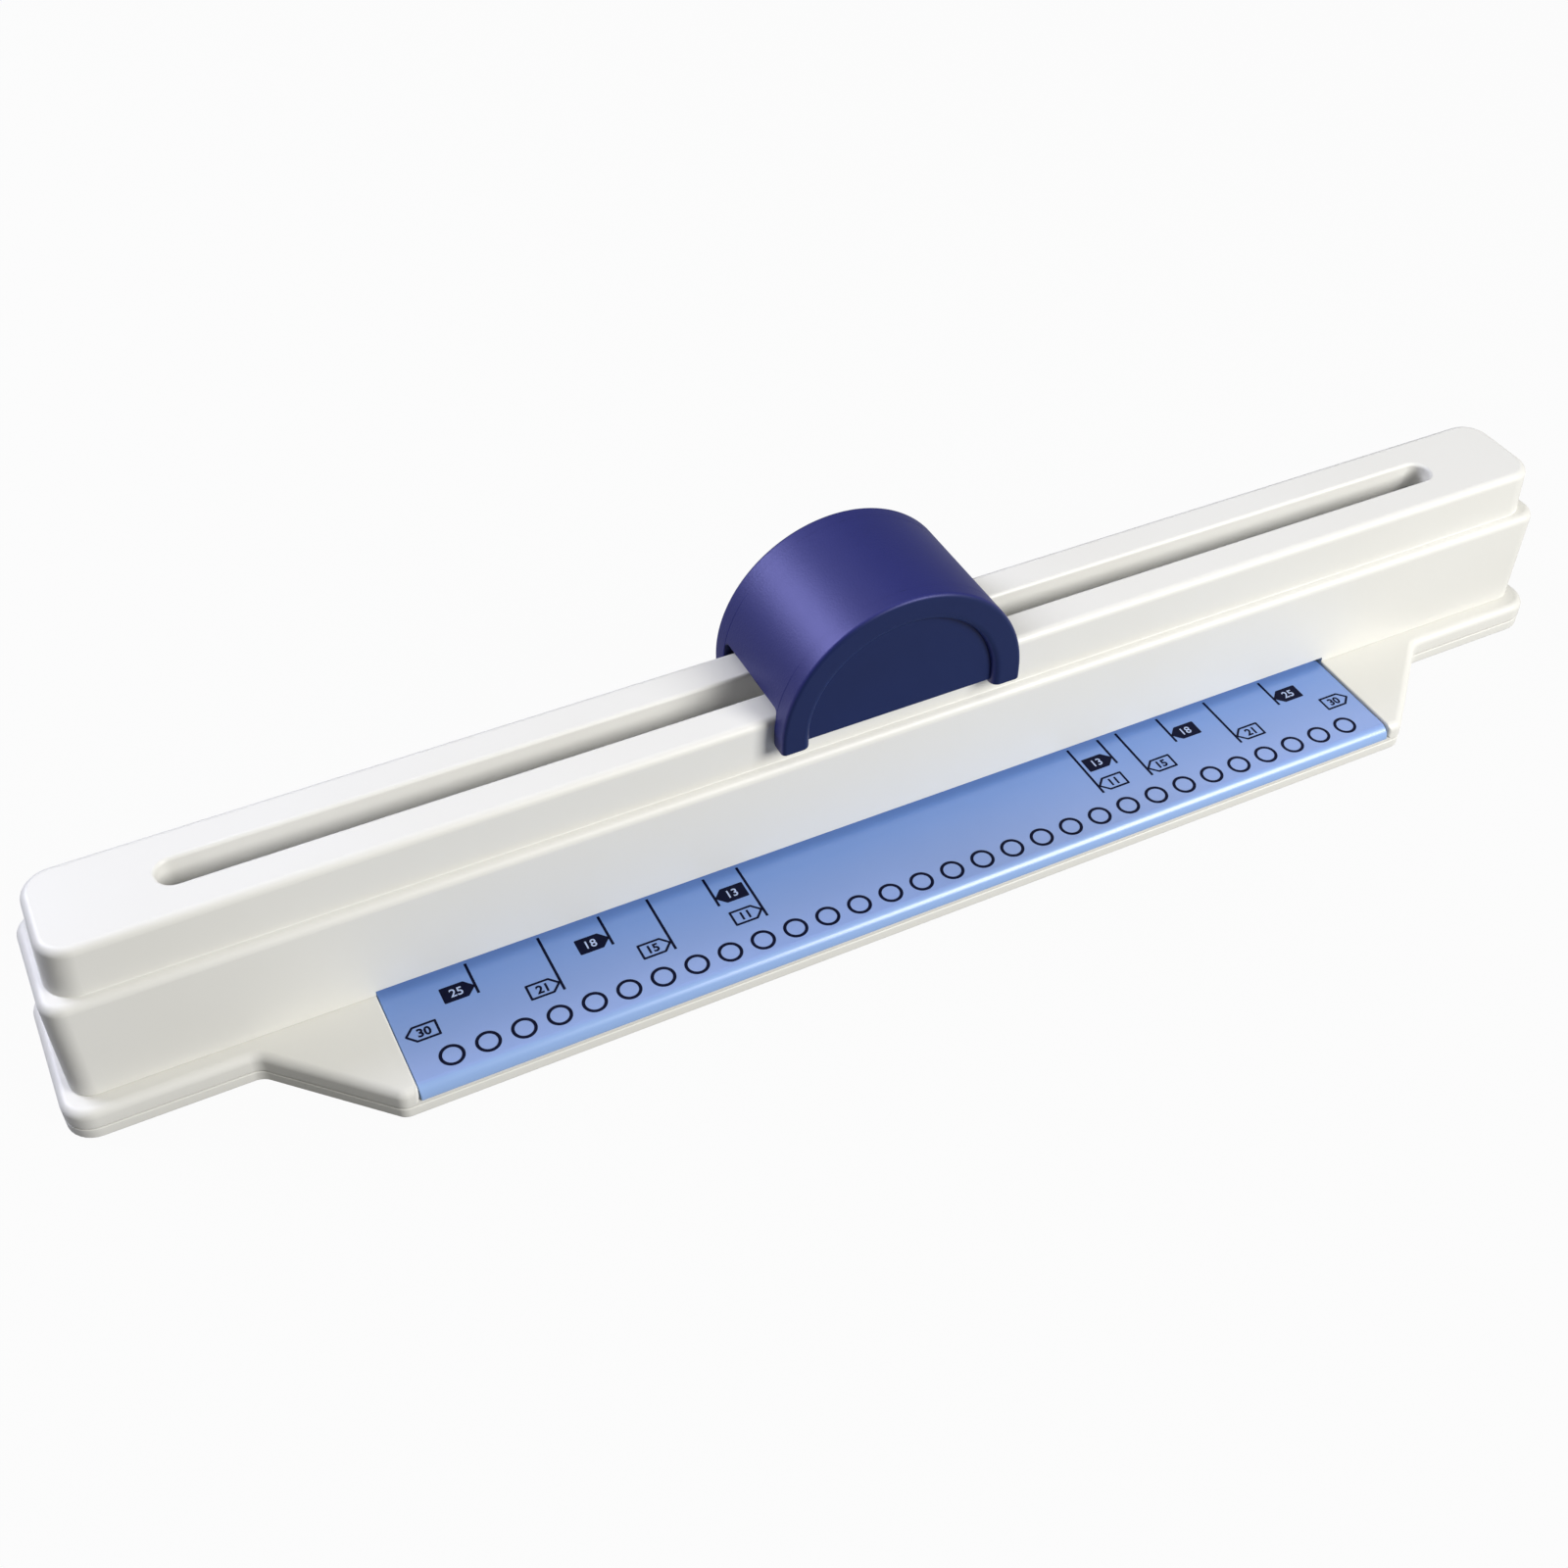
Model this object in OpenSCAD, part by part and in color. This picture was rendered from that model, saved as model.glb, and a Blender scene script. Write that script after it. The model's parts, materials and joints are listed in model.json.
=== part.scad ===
// Slide punch for thirty-hole loose-leaf paper.
// +X runs along the body, -Y is the paper side and +Z is up.
// The origin is on the table, under the middle of the base.
// Sliding the handle along the slot rolls a press roller over a row of sprung punch pins.

/* [Base] */
// Length of the base
base_len = 455.5; // [440:0.5:520]
// Depth of the base flange under the housing
flange_depth = 46; // [46:0.5:54]
// How far the apron stands out in front of the flange
apron_depth = 27.5; // [22:0.5:40]
// Length of the apron where it leaves the flange
apron_root_len = 362; // [350:1:400]
// Length of the apron along its front edge
apron_front_len = 306; // [304:1:330]
// Height of the deck above the table
deck_h = 10.2; // [10:0.1:12]
// Height of the parting line between tray and deck
tray_edge_h = 4.2; // [4:0.1:4.6]
// Width of the groove at the parting line
parting_gap = 0.3; // [0.2:0.05:0.5]
// Vertical corner radius of the flange
flange_corner_r = 7.5; // [5:0.5:10]
// Vertical corner radius of the apron
apron_corner_r = 4; // [3.5:0.5:8]
// Radius of the hollow corner where the apron leaves the flange
apron_root_r = 5; // [3:0.5:8]
// Rounding of the deck's top edge
deck_edge_r = 2.4; // [1:0.1:3]
// Wall of the deck's skirt
skirt_t = 3; // [2.6:0.1:4]
// Thickness of the tray's floor and of its tongue
tray_t = 1.6; // [1.2:0.1:1.8]
// Height of the tongue that holds the tray inside the skirt
tongue_h = 1.2; // [0.8:0.1:1.2]
// Diameter of a rubber foot
foot_d = 12; // [8:1:16]
// How far the feet stand out below the tray
foot_proud = 0.8; // [0.5:0.1:1]
// Depth of the pocket that holds a foot
foot_pocket = 0.8; // [0.5:0.1:0.9]

/* [Gauge] */
// Width between the paper guides beside the panel
panel_len = 297.5; // [280:0.5:299]
// Thickness of the gauge panel
panel_t = 2; // [1.5:0.1:2.4]
// How far the paper surface lies below the deck
panel_drop = 0.7; // [0.4:0.1:1]
// Height of the lower edge of the panel's rolled lip
lip_h = 5.5; // [5.2:0.1:6]
// Outer radius of the panel's rolled lip
lip_r = 2.6; // [2.2:0.1:3]
// Assembly gap round the panel
panel_fit = 0.25; // [0.1:0.05:0.4]

/* [Housing] */
// Inset of the housing's front and back walls from the flange edge
wall_inset = 5.2; // [4:0.1:5.4]
// Inset of the housing's end walls from the flange edge
wall_end_inset = 3.5; // [3:0.1:4.5]
// Height of the shoulder above the table
shoulder_h = 42; // [38:0.5:46]
// Inset of the ridge from the wall
ridge_inset = 2.8; // [2.4:0.1:3]
// Height of the ridge above the table
ridge_h = 57; // [56:0.5:64]
// Wall thickness of the housing
skin = 2.5; // [2:0.1:2.5]
// Vertical corner radius of the housing wall
wall_corner_r = 6; // [5.5:0.5:8]
// Vertical corner radius of the ridge
ridge_corner_r = 8; // [6:0.5:9]
// How far the ridge's ends lean inwards over their height
end_lean = 1.2; // [0:0.1:1.6]
// Rounding of the shoulder
shoulder_r = 1.4; // [0.8:0.1:1.6]
// Hollow rounding where the ridge rises from the shoulder
cove_r = 1.1; // [0.6:0.1:1.2]
// Rounding of the ridge's top edge
ridge_r = 2.2; // [1:0.1:2.4]
// Length of the handle slot
slot_len = 380.5; // [380:0.5:400]
// Width of the handle slot
slot_w = 8.5; // [8.5:0.1:9]
// Rounding of the slot's upper edge
slot_lip_r = 1; // [0.5:0.1:1.4]
// Wall that hangs down round the slot
slot_wall = 1.1; // [0.8:0.1:1.2]
// Depth of the slot's wall below the ridge
slot_drop = 9.2; // [8:0.1:9.4]

/* [Punching] */
// Number of punch pins
hole_count = 30; // [20:1:30]
// Distance between neighbouring pins
hole_pitch = 9.5; // [9:0.1:9.5]
// Diameter of a punch pin
pin_d = 5.5; // [5:0.1:6]
// Diameter of a pin's head
pin_head_d = 8; // [7.6:0.1:8.4]
// Height of a pin's head
pin_head_h = 2.5; // [2:0.1:3]
// Travel of a pin
pin_stroke = 5; // [4.6:0.1:5.5]
// How far a pressed pin passes the underside of the die plate
pin_past = 0.4; // [0.2:0.1:0.6]
// Radial running clearance of a pin
pin_fit = 0.06; // [0.03:0.01:0.1]
// Height of a return spring when its pin is up
spring_h = 11.6; // [11:0.1:12]
// Outer diameter of a return spring
spring_d = 7.4; // [7.2:0.1:7.6]
// Wire diameter of a return spring
wire_d = 0.7; // [0.5:0.1:0.8]
// Free height of the paper throat
throat_gap = 2.2; // [1.5:0.1:3]
// Distance from the paper's stopped edge to the hole centres
edge_margin = 6.5; // [5:0.1:7]

/* [Channel frame] */
// Outer width of the channel
channel_w = 24; // [23:0.5:24]
// Length of the channel
channel_len = 390; // [388:1:396]
// Sheet thickness of the channel and of the pin guide
sheet_t = 1.6; // [1.2:0.1:1.8]
// Gap between the slot's wall and the channel's top lips
lip_play = 0.3; // [0.2:0.05:0.4]
// Thickness of the die plate
die_t = 2; // [1.6:0.1:2]
// Gap between the channel and the housing round it
channel_fit = 0.3; // [0.2:0.05:0.4]
// Height of the pin guide above the channel's floor
guide_rise = 5.5; // [5:0.1:6]
// Thread diameter of the frame screws
frame_screw_d = 4; // [3:0.5:4]
// Thread diameter of the housing screws
housing_screw_d = 3; // [2.5:0.5:4]
// Clearance round a screw in a through hole
screw_fit = 0.25; // [0.15:0.05:0.4]

/* [Slider] */
// Length of the slide carriage
carriage_len = 60; // [60:1:66]
// Length of the neck that passes through the slot
neck_len = 52; // [48:1:53]
// How far the neck reaches above the ridge
neck_reach = 8; // [7:0.5:10]
// Side clearance of the neck in the slot
neck_fit = 0.5; // [0.3:0.05:0.7]
// Diameter of the press roller
press_d = 12.5; // [11:0.5:12.5]
// Width of the press roller
press_w = 7.6; // [7:0.1:7.8]
// Diameter of the press roller's axle
press_axle_d = 5; // [4:0.1:6]
// Diameter of a guide roller
guide_d = 14; // [13.6:0.1:14.4]
// Width of a guide roller
guide_w = 3.6; // [3.2:0.1:3.8]
// Diameter of a guide roller's axle
guide_axle_d = 2.6; // [2.2:0.1:2.8]
// Radial running clearance of the rollers
roller_fit = 0.05; // [0.02:0.01:0.1]
// Gap between the press roller and the raised pins
press_gap = 0.3; // [0.2:0.05:0.5]

/* [Handle] */
// Outer radius of the half-round handle
handle_r = 35.6; // [34:0.2:40]
// Width of the handle across the ridge
handle_w = 41.6; // [41:0.2:48]
// Height of the handle's legs above the table
handle_base_h = 48.8; // [47:0.1:51]
// Straight length of the legs below the half-round arch
leg_straight = 3.6; // [2:0.1:5]
// Wall of the handle
handle_t = 2.3; // [1.8:0.1:3]
// Width of the raised rim round each end face
rim_w = 6; // [5:0.1:8]
// Depth of the recessed end face inside the rim
disc_recess = 2.2; // [1:0.1:3]
// How far the end face stops above the legs
disc_rise = 1; // [0.5:0.1:3]
// Depth of a leg along Y
leg_depth = 5.3; // [4:0.1:5.5]
// Height of the handle's side notch above the ridge
notch_rise = 3; // [2:0.1:5]
// Rounding of the handle's edges
handle_edge_r = 1.2; // [0.6:0.1:1.6]
// Gap between the handle and the ridge it glides on
glide_gap = 0.3; // [0.2:0.05:0.5]

/* [Hidden] */
// Curve steps of edges, of upright corners and of round parts
arc_steps = 6;
corner_steps = 8;
round_fn = 96;
// Overshoot that keeps cut faces apart
cut = 1;
// Smallest radius of an inner corner, and smallest flat of the shoulder
least_r = 0.4;
least_flat = 0.1;
// Press or snap clearance between fixed pieces
snug = 0.1;

// Plan: front, flange front and back edges, and the line of the pins
depth = flange_depth + apron_depth;
y_front = -depth / 2;
y_flange = y_front + apron_depth;
y_back = depth / 2;
y_pins = y_back - flange_depth / 2;

// Levels of the base
tray_z = foot_proud;
tray_floor_z = tray_z + tray_t;
deck_z = tray_edge_h + parting_gap;
paper_z = deck_h - panel_drop;
seat_z = paper_z - panel_t;
deck_skin = 1.5;
hollow_z = seat_z - deck_skin;
die_z = paper_z - die_t;
floor_z = paper_z + throat_gap;

// Housing
wall_len = base_len - 2 * wall_end_inset;
wall_depth = flange_depth - 2 * wall_inset;
ridge_len = wall_len - 2 * ridge_inset;
ridge_depth = wall_depth - 2 * ridge_inset;
ridge_room = ridge_len - 2 * (skin + ridge_corner_r / 2 + end_lean);
ceiling_z = ridge_h - skin;
shoulder_round = min(shoulder_r, ridge_inset / 2);
cove_round = min(cove_r, ridge_inset - shoulder_round - least_flat);

// Row of pins
pin_span = (hole_count - 1) * hole_pitch;
row_len = pin_span + 2 * hole_pitch;
channel_top = ceiling_z - channel_fit;
channel_inner = channel_w - 2 * sheet_t;
lips_gap = slot_w + 2 * slot_wall + 2 * lip_play;
lips_z = channel_top - sheet_t;
guide_z = floor_z + sheet_t + guide_rise;
spring_z = guide_z + sheet_t;
pin_head_z = spring_z + spring_h;
pin_top = pin_head_z + pin_head_h;
pin_tip = die_z - pin_past + pin_stroke;
pin_edge = 0.3;

// Screws of the frame and of the housing: places, heads and nuts
frame_screw_places = [0.33, 0.85];
frame_screw_x = [for (side = [-1, 1]) for (u = frame_screw_places)
    side * (panel_len / 2 + (channel_len - panel_len) / 2 * u)];
housing_screw_x = (channel_len + wall_len) / 4 - skin / 2;
boss_d = housing_screw_d + 5;
boss_h = 18;
boss_sink = 0.8;
housing_screw_y = wall_depth / 2 - skin - boss_d / 2 + boss_sink;
screw_head_h = 2;
head_ratio = 1.9;
nut_h = 3.2;
nut_d = frame_screw_d * 2;
screw_past_nut = 0.8;

// Slider
side_play = 0.3;
roller_gap = 0.15;
roller_edge = 0.4;
spine_play = 0.4;
axle_wall = 0.6;
axle_head_t = 0.5;
press_z = pin_top + press_gap + press_d / 2;
press_axle_roof = press_z + press_axle_d / 2 + snug + axle_wall;
slot_wall_z = max(ridge_h - slot_drop, press_axle_roof + spine_play);
spine_top = slot_wall_z - spine_play;
spine_w = press_w + 1.2;
cheek_len = press_d + 10;
carriage_w = channel_inner - 1.6;
carriage_z = pin_top + cut;
guide_roller_x = carriage_len / 2 - guide_d / 2 - 3.5;
guide_roller_y = (lips_gap + guide_w) / 2 + roller_gap;
guide_roller_z = lips_z - roller_gap - guide_d / 2;
axle_head_d = guide_axle_d + 1.6;
neck_w = slot_w - 2 * neck_fit;
neck_top = ridge_h + neck_reach;
barb = 0.8;
barb_h = 2;
socket_t = 2.2;

// Handle
arch_z = handle_base_h + leg_straight;
handle_in_r = handle_r - handle_t;
disc_y = handle_w / 2 - disc_recess;
rim_round = min(disc_recess, rim_w - handle_edge_r - least_r) - least_flat;

// Feet: under the back corners and under the apron's front corners
foot_inset = 9;
feet = [for (side = [-1, 1]) for (p = [[base_len / 2 - 2 * foot_inset, y_back - foot_inset],
    [apron_front_len / 2 - foot_inset, y_front + foot_inset]]) [side * p[0], p[1]]];

function pin_x(i) = -pin_span / 2 + i * hole_pitch;
function pin_name(i) = str("punch_pin_", i < 9 ? "0" : "", i + 1);
function guide_roller_name(sx, sy) =
    str("guide_roller_", sy < 0 ? "front" : "rear", sx < 0 ? "_left" : "_right");

// Points of an arc about [x, z] from angle a0 to angle a1
function arc(x, z, r, a0, a1) = [for (s = [0 : arc_steps])
    let (a = a0 + (a1 - a0) * s / arc_steps) [x + r * cos(a), z + r * sin(a)]];

// Box centred along X, between two values of y and two of z
module bar(length, y0, y1, z0, z1) {
    translate([-length / 2, y0, z0]) cube([length, y1 - y0, z1 - z0]);
}

// Box centred on the line of the pins
module block(length, width, z0, z1) {
    bar(length, y_pins - width / 2, y_pins + width / 2, z0, z1);
}

// Plan of the base, counterclockwise: corners [x, y] and their radii, below 0 in a hollow corner
base_corners = [[base_len / 2, y_flange], [base_len / 2, y_back], [-base_len / 2, y_back], [-base_len / 2, y_flange],
    [-apron_root_len / 2, y_flange], [-apron_front_len / 2, y_front],
    [apron_front_len / 2, y_front], [apron_root_len / 2, y_flange]];
base_radii = [flange_corner_r, flange_corner_r, flange_corner_r, flange_corner_r,
    -apron_root_r, apron_corner_r, apron_corner_r, -apron_root_r];

// Inward unit normal of a plan's edge from p to q
function inward(p, q) = [p[1] - q[1], q[0] - p[0]] / norm(q - p);

// Points of a rounded plan corner between two edge normals, with the edges moved inwards by inset
function plan_corner(p, n0, n1, r, inset) =
    let (bend = r > 0 ? max(r - inset, least_r) : r - inset)
    let (middle = p + (bend + inset) * (n0 + n1) / (1 + n0 * n1))
    let (a0 = atan2(n0[1], n0[0]))
    let (turn = atan2(n0[0] * n1[1] - n0[1] * n1[0], n0 * n1))
    [for (s = [0 : corner_steps]) let (a = a0 + turn * s / corner_steps) middle - bend * [cos(a), sin(a)]];

// Outline of the base moved inwards by inset
function base_plan(inset) = let (c = base_corners) let (n = len(c)) [for (i = [0 : n - 1])
    let (before = inward(c[(i + n - 1) % n], c[i]))
    let (after = inward(c[i], c[(i + 1) % n]))
    each plan_corner(c[i], before, after, base_radii[i], inset)];

// Convex pieces of the base's plan as point numbers: flange, apron and strips between the hollow corners
base_caps = let (n = corner_steps + 1) concat(
    [concat([for (i = [n : 4 * n]) i], [8 * n - 1], [for (i = [0 : n - 1]) i])],
    [[for (i = [5 * n - 1 : 7 * n]) i]],
    [for (k = [0 : corner_steps - 1]) [4 * n + k, 4 * n + k + 1, 8 * n - 2 - k, 8 * n - 1 - k]]);

// Solid between rings of points that lie above each other, closed by convex end faces
module loft(rings, caps) {
    n = len(rings[0]);
    last = len(rings) - 1;
    sides = [for (k = [0 : last - 1]) for (i = [0 : n - 1])
        let (j = (i + 1) % n) [k * n + i, k * n + n + i, k * n + n + j, k * n + j]];
    roof = [for (c = caps) [for (i = [len(c) - 1 : -1 : 0]) last * n + c[i]]];
    polyhedron([for (r = rings) each r], concat(caps, sides, roof));
}

// Plan of the base, moved inwards by inset, as a straight block
module base_block(z0, z1, inset) {
    translate([0, 0, z0]) linear_extrude(z1 - z0) polygon(base_plan(inset));
}

// Ring of points: a rectangle with rounded corners at height z
function ring(half_x, half_y, r, z) = [for (q = [0 : 3]) for (s = [0 : corner_steps])
    let (a = 90 * (q + s / corner_steps))
    let (sx = q == 0 || q == 3 ? 1 : -1)
    let (sy = q < 2 ? 1 : -1)
    [sx * (half_x - r) + r * cos(a), y_pins + sy * (half_y - r) + r * sin(a), z]];

// Cylinder along Y, centred on the line of the pins
module y_rod(x, z, d, length) {
    translate([x, y_pins, z]) rotate([90, 0, 0]) cylinder(h = length, d = d, center = true, $fn = round_fn);
}

// One hole, or spring, for each place of the row
module at_pins() {
    for (i = [0 : hole_count - 1]) translate([pin_x(i), y_pins, 0]) children();
}

module at_housing_screws() {
    for (sx = [-1, 1], sy = [-1, 1])
        translate([sx * housing_screw_x, y_pins + sy * housing_screw_y, 0]) children();
}

module at_frame_screws() {
    for (x = frame_screw_x) translate([x, y_pins, 0]) children();
}

// Straight hole from z0 to z1
module drill(z0, z1, d) {
    translate([0, 0, z0]) cylinder(h = z1 - z0, d = d, $fn = round_fn);
}

// Screw with a pan head below z0 and its tip at z1
module screw(z0, z1, d) {
    drill(z0 - screw_head_h, z0, d * head_ratio);
    drill(z0 - screw_head_h / 2, z1, d);
}

module bottom_tray() {
    tongue_in = skirt_t + parting_gap;
    tongue_z = tray_edge_h + tongue_h;
    color("#e4e2d8") difference() {
        union() {
            base_block(tray_z, tray_edge_h, 0);
            base_block(tray_floor_z, tongue_z, tongue_in);
        }
        base_block(tray_floor_z, tongue_z + cut, tongue_in + tray_t);
        for (p = feet) translate([p[0], p[1], 0]) drill(-cut, tray_z + foot_pocket, foot_d + 2 * snug);
    }
}

module rubber_feet() {
    color("#4a4a4c") for (p = feet) translate([p[0], p[1], 0]) drill(0, tray_z + foot_pocket, foot_d);
}

module base_deck() {
    profile = concat([[0, deck_z]], arc(deck_edge_r, deck_h - deck_edge_r, deck_edge_r, 180, 90));
    color("#e6e4da") difference() {
        loft([for (p = profile) [for (q = base_plan(p[0])) [q[0], q[1], p[1]]]], base_caps);
        base_block(deck_z - cut, hollow_z, skirt_t);
        // Bed of the gauge panel, open at the front for its lip
        bar(panel_len, y_front - cut, y_pins, seat_z, deck_h + cut);
        bar(panel_len, y_front - cut, y_front + panel_t, lip_h, deck_h + cut);
        // Bed of the die plate and the slot below it for the chips
        block(channel_len + 2 * snug, channel_w + 2 * snug, die_z, deck_h + cut);
        block(row_len, 2 * pin_d, deck_z, deck_h);
        at_frame_screws() drill(deck_z, deck_h, frame_screw_d + 2 * screw_fit);
        at_housing_screws() drill(deck_z, deck_h + cut, housing_screw_d + 2 * screw_fit);
    }
}

// Section of the panel: a plate whose front edge rolls down into a lip
module panel_section(y0, y1) {
    difference() {
        union() {
            translate([y0 + lip_r, lip_h]) square([y1 - y0 - lip_r, paper_z - lip_h]);
            translate([y0, lip_h]) square([lip_r, paper_z - lip_r - lip_h]);
            intersection() {
                translate([y0 + lip_r, paper_z - lip_r]) circle(r = lip_r, $fn = round_fn);
                translate([y0, paper_z - lip_r]) square(lip_r);
            }
        }
        translate([y0 + panel_t, lip_h - cut]) square([y1 - y0, seat_z - lip_h + cut]);
    }
}

module gauge_panel() {
    length = panel_len - 2 * panel_fit;
    y_die = y_pins - channel_w / 2 - panel_fit;
    color("#8fabdf") translate([-length / 2, 0, 0]) rotate([90, 0, 90]) linear_extrude(length)
        panel_section(y_front, y_die);
}

// Straight-sided slot with round ends
module slot_shape(z0, z1, length, width) {
    translate([0, y_pins, z0]) linear_extrude(z1 - z0) {
        square([length - width, width], center = true);
        for (side = [-1, 1]) translate([side * (length - width) / 2, 0]) circle(d = width, $fn = round_fn);
    }
}

// Cut that rounds the upper edge of the slot: straight along the sides, turned round the ends
module slot_rounding() {
    edge = slot_w / 2 + slot_lip_r;
    reach = slot_len / 2 - slot_w / 2;
    section = concat([[slot_w / 2 - cut, ridge_h + cut], [slot_w / 2 - cut, ridge_h - slot_lip_r]],
        arc(edge, ridge_h - slot_lip_r, slot_lip_r, 180, 90), [[edge, ridge_h + cut]]);
    translate([0, y_pins, 0]) for (side = [0, 180]) rotate([0, 0, side]) {
        translate([-reach, 0, 0]) rotate([90, 0, 90]) linear_extrude(2 * reach) polygon(section);
        translate([reach, 0, 0]) rotate([0, 0, -90]) rotate_extrude(angle = 180, $fn = round_fn) polygon(section);
    }
}

// Ring of the housing at a side profile's point [inset, z], with its ends moved further in by lean
function housing_ring(p, corner_r, lean) =
    ring(wall_len / 2 - p[0] - lean, wall_depth / 2 - p[0], max(corner_r - p[0], least_r), p[1]);

// Wall with its shoulder, and the ridge that rises from it through a cove
module housing_form() {
    wall = concat([[0, deck_h]], arc(shoulder_round, shoulder_h - shoulder_round, shoulder_round, 180, 90));
    ridge = concat(arc(ridge_inset - cove_round, shoulder_h + cove_round, cove_round, 270, 360),
        arc(ridge_inset + ridge_r, ridge_h - ridge_r, ridge_r, 180, 90));
    lean_rate = end_lean / (ridge_h - shoulder_h);
    rings = concat([for (p = wall) housing_ring(p, wall_corner_r, 0)],
        [for (p = ridge) housing_ring(p, ridge_corner_r + ridge_inset, (p[1] - shoulder_h) * lean_rate)]);
    loft(rings, [[for (i = [0 : len(rings[0]) - 1]) i]]);
}

module upper_housing() {
    color("#eceae2") difference() {
        union() {
            difference() {
                housing_form();
                block(wall_len - 2 * skin, wall_depth - 2 * skin, deck_h - cut, shoulder_h - skin);
                block(ridge_room, ridge_depth - 2 * skin, deck_h - cut, ceiling_z);
            }
            slot_shape(slot_wall_z, ceiling_z + cut, slot_len + 2 * slot_wall, slot_w + 2 * slot_wall);
            at_housing_screws() drill(deck_h, deck_h + boss_h, boss_d);
        }
        slot_shape(slot_wall_z - cut, ridge_h + cut, slot_len, slot_w);
        slot_rounding();
        bar(panel_len, y_pins - wall_depth / 2 - cut, y_pins, deck_h - cut, floor_z);
        at_housing_screws() drill(deck_h - cut, deck_h + boss_h - skin, housing_screw_d + 2 * snug);
    }
}

module housing_screws() {
    color("#8c8f94") at_housing_screws() screw(hollow_z, deck_h + boss_h - 2 * skin, housing_screw_d);
}

module die_plate() {
    color("#9a9da3") difference() {
        block(channel_len, channel_w, die_z, paper_z);
        at_pins() drill(die_z - cut, paper_z + cut, pin_d + 2 * pin_fit);
        at_frame_screws() drill(die_z - cut, paper_z + cut, frame_screw_d + 2 * screw_fit);
    }
}

// U-shaped shim: its back bar stops the paper's edge, its arms guide the paper's sides
module throat_spacer() {
    color("#b4b7bc") difference() {
        block(channel_len, channel_w, paper_z, floor_z);
        bar(panel_len, y_pins - channel_w, y_pins + edge_margin, paper_z - cut, floor_z + cut);
        at_frame_screws() drill(paper_z - cut, floor_z + cut, frame_screw_d + 2 * screw_fit);
    }
}

// Folded channel, open at its ends, with two lips that the guide rollers run under
module channel_frame() {
    open_len = channel_len + 2 * cut;
    color("#a9acb2") difference() {
        block(channel_len, channel_w, floor_z, channel_top);
        block(open_len, channel_inner, floor_z + sheet_t, lips_z);
        block(open_len, lips_gap, lips_z - cut, ridge_h);
        at_pins() drill(floor_z - cut, floor_z + sheet_t + cut, pin_d + 2 * pin_fit);
        at_frame_screws() drill(floor_z - cut, floor_z + sheet_t + cut, frame_screw_d + 2 * screw_fit);
    }
}

// Inverted channel that stands on the frame's floor and guides the upper end of the pins
module pin_guide() {
    width = pin_head_d + 2 * sheet_t;
    color("#b9bcc1") difference() {
        block(row_len, width, floor_z + sheet_t, spring_z);
        block(row_len + 2 * cut, width - 2 * sheet_t, floor_z, guide_z);
        at_pins() drill(guide_z - cut, spring_z + cut, pin_d + 2 * pin_fit);
    }
}

module return_springs() {
    color("#c3c6ca") at_pins() difference() {
        drill(spring_z, pin_head_z, spring_d);
        drill(spring_z - cut, pin_head_z + cut, spring_d - 2 * wire_d);
    }
}

module punch_pin(i) {
    stem = [[0, pin_tip], [pin_d / 2, pin_tip], [pin_d / 2, pin_head_z], [pin_head_d / 2, pin_head_z]];
    head = arc(pin_head_d / 2 - pin_edge, pin_top - pin_edge, pin_edge, 0, 90);
    color("#c9ccd1") translate([pin_x(i), y_pins, 0]) rotate_extrude($fn = round_fn)
        polygon(concat(stem, head, [[0, pin_top]]));
}

module frame_screws() {
    color("#8c8f94") at_frame_screws()
        screw(hollow_z, floor_z + sheet_t + nut_h + screw_past_nut, frame_screw_d);
}

module frame_nuts() {
    color("#a0a3a8") at_frame_screws() difference() {
        translate([0, 0, floor_z + sheet_t]) cylinder(h = nut_h, d = nut_d, $fn = 6);
        drill(floor_z, floor_z + sheet_t + nut_h + cut, frame_screw_d + 2 * snug);
    }
}

// Spine with cheeks that carry the press roller, bosses for the guide rollers and a barbed neck
module slide_carriage() {
    wheel_slot = press_d + 2 * side_play;
    boss_len = 2 * guide_roller_y - guide_w - 2 * roller_gap;
    color("#d8d8d4") difference() {
        union() {
            block(carriage_len, spine_w, carriage_z, spine_top);
            block(cheek_len, carriage_w, carriage_z, spine_top);
            block(neck_len, neck_w, spine_top - cut, neck_top);
            block(neck_len + 2 * barb, neck_w, neck_top - barb_h, neck_top);
            intersection() {
                for (side = [-1, 1])
                    y_rod(side * guide_roller_x, guide_roller_z, guide_axle_d + 2 * (snug + axle_wall), boss_len);
                block(carriage_len, channel_w, carriage_z, spine_top);
            }
        }
        block(wheel_slot, press_w + 2 * side_play, carriage_z - cut, press_z + wheel_slot / 2);
        y_rod(0, press_z, press_axle_d + 2 * snug, channel_w);
        for (side = [-1, 1])
            y_rod(side * guide_roller_x, guide_roller_z, guide_axle_d + 2 * snug, channel_w);
    }
}

// Roller along Y with softened edges and a bore that runs on its axle
module roller(d, w, bore) {
    rim = d / 2 - roller_edge;
    face = w / 2 - roller_edge;
    rotate([90, 0, 0]) difference() {
        rotate_extrude($fn = round_fn)
            polygon([[0, -w / 2], [rim, -w / 2], [d / 2, -face], [d / 2, face], [rim, w / 2], [0, w / 2]]);
        cylinder(h = w + 2 * cut, d = bore, center = true, $fn = round_fn);
    }
}

module press_roller() {
    color("#b0b3b8") translate([0, y_pins, press_z]) roller(press_d, press_w, press_axle_d + 2 * roller_fit);
}

module press_axle() {
    color("#9a9da3") y_rod(0, press_z, press_axle_d, carriage_w);
}

module guide_roller(sx, sy) {
    color("#3c3d40") translate([sx * guide_roller_x, y_pins + sy * guide_roller_y, guide_roller_z])
        roller(guide_d, guide_w, guide_axle_d + 2 * roller_fit);
}

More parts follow.
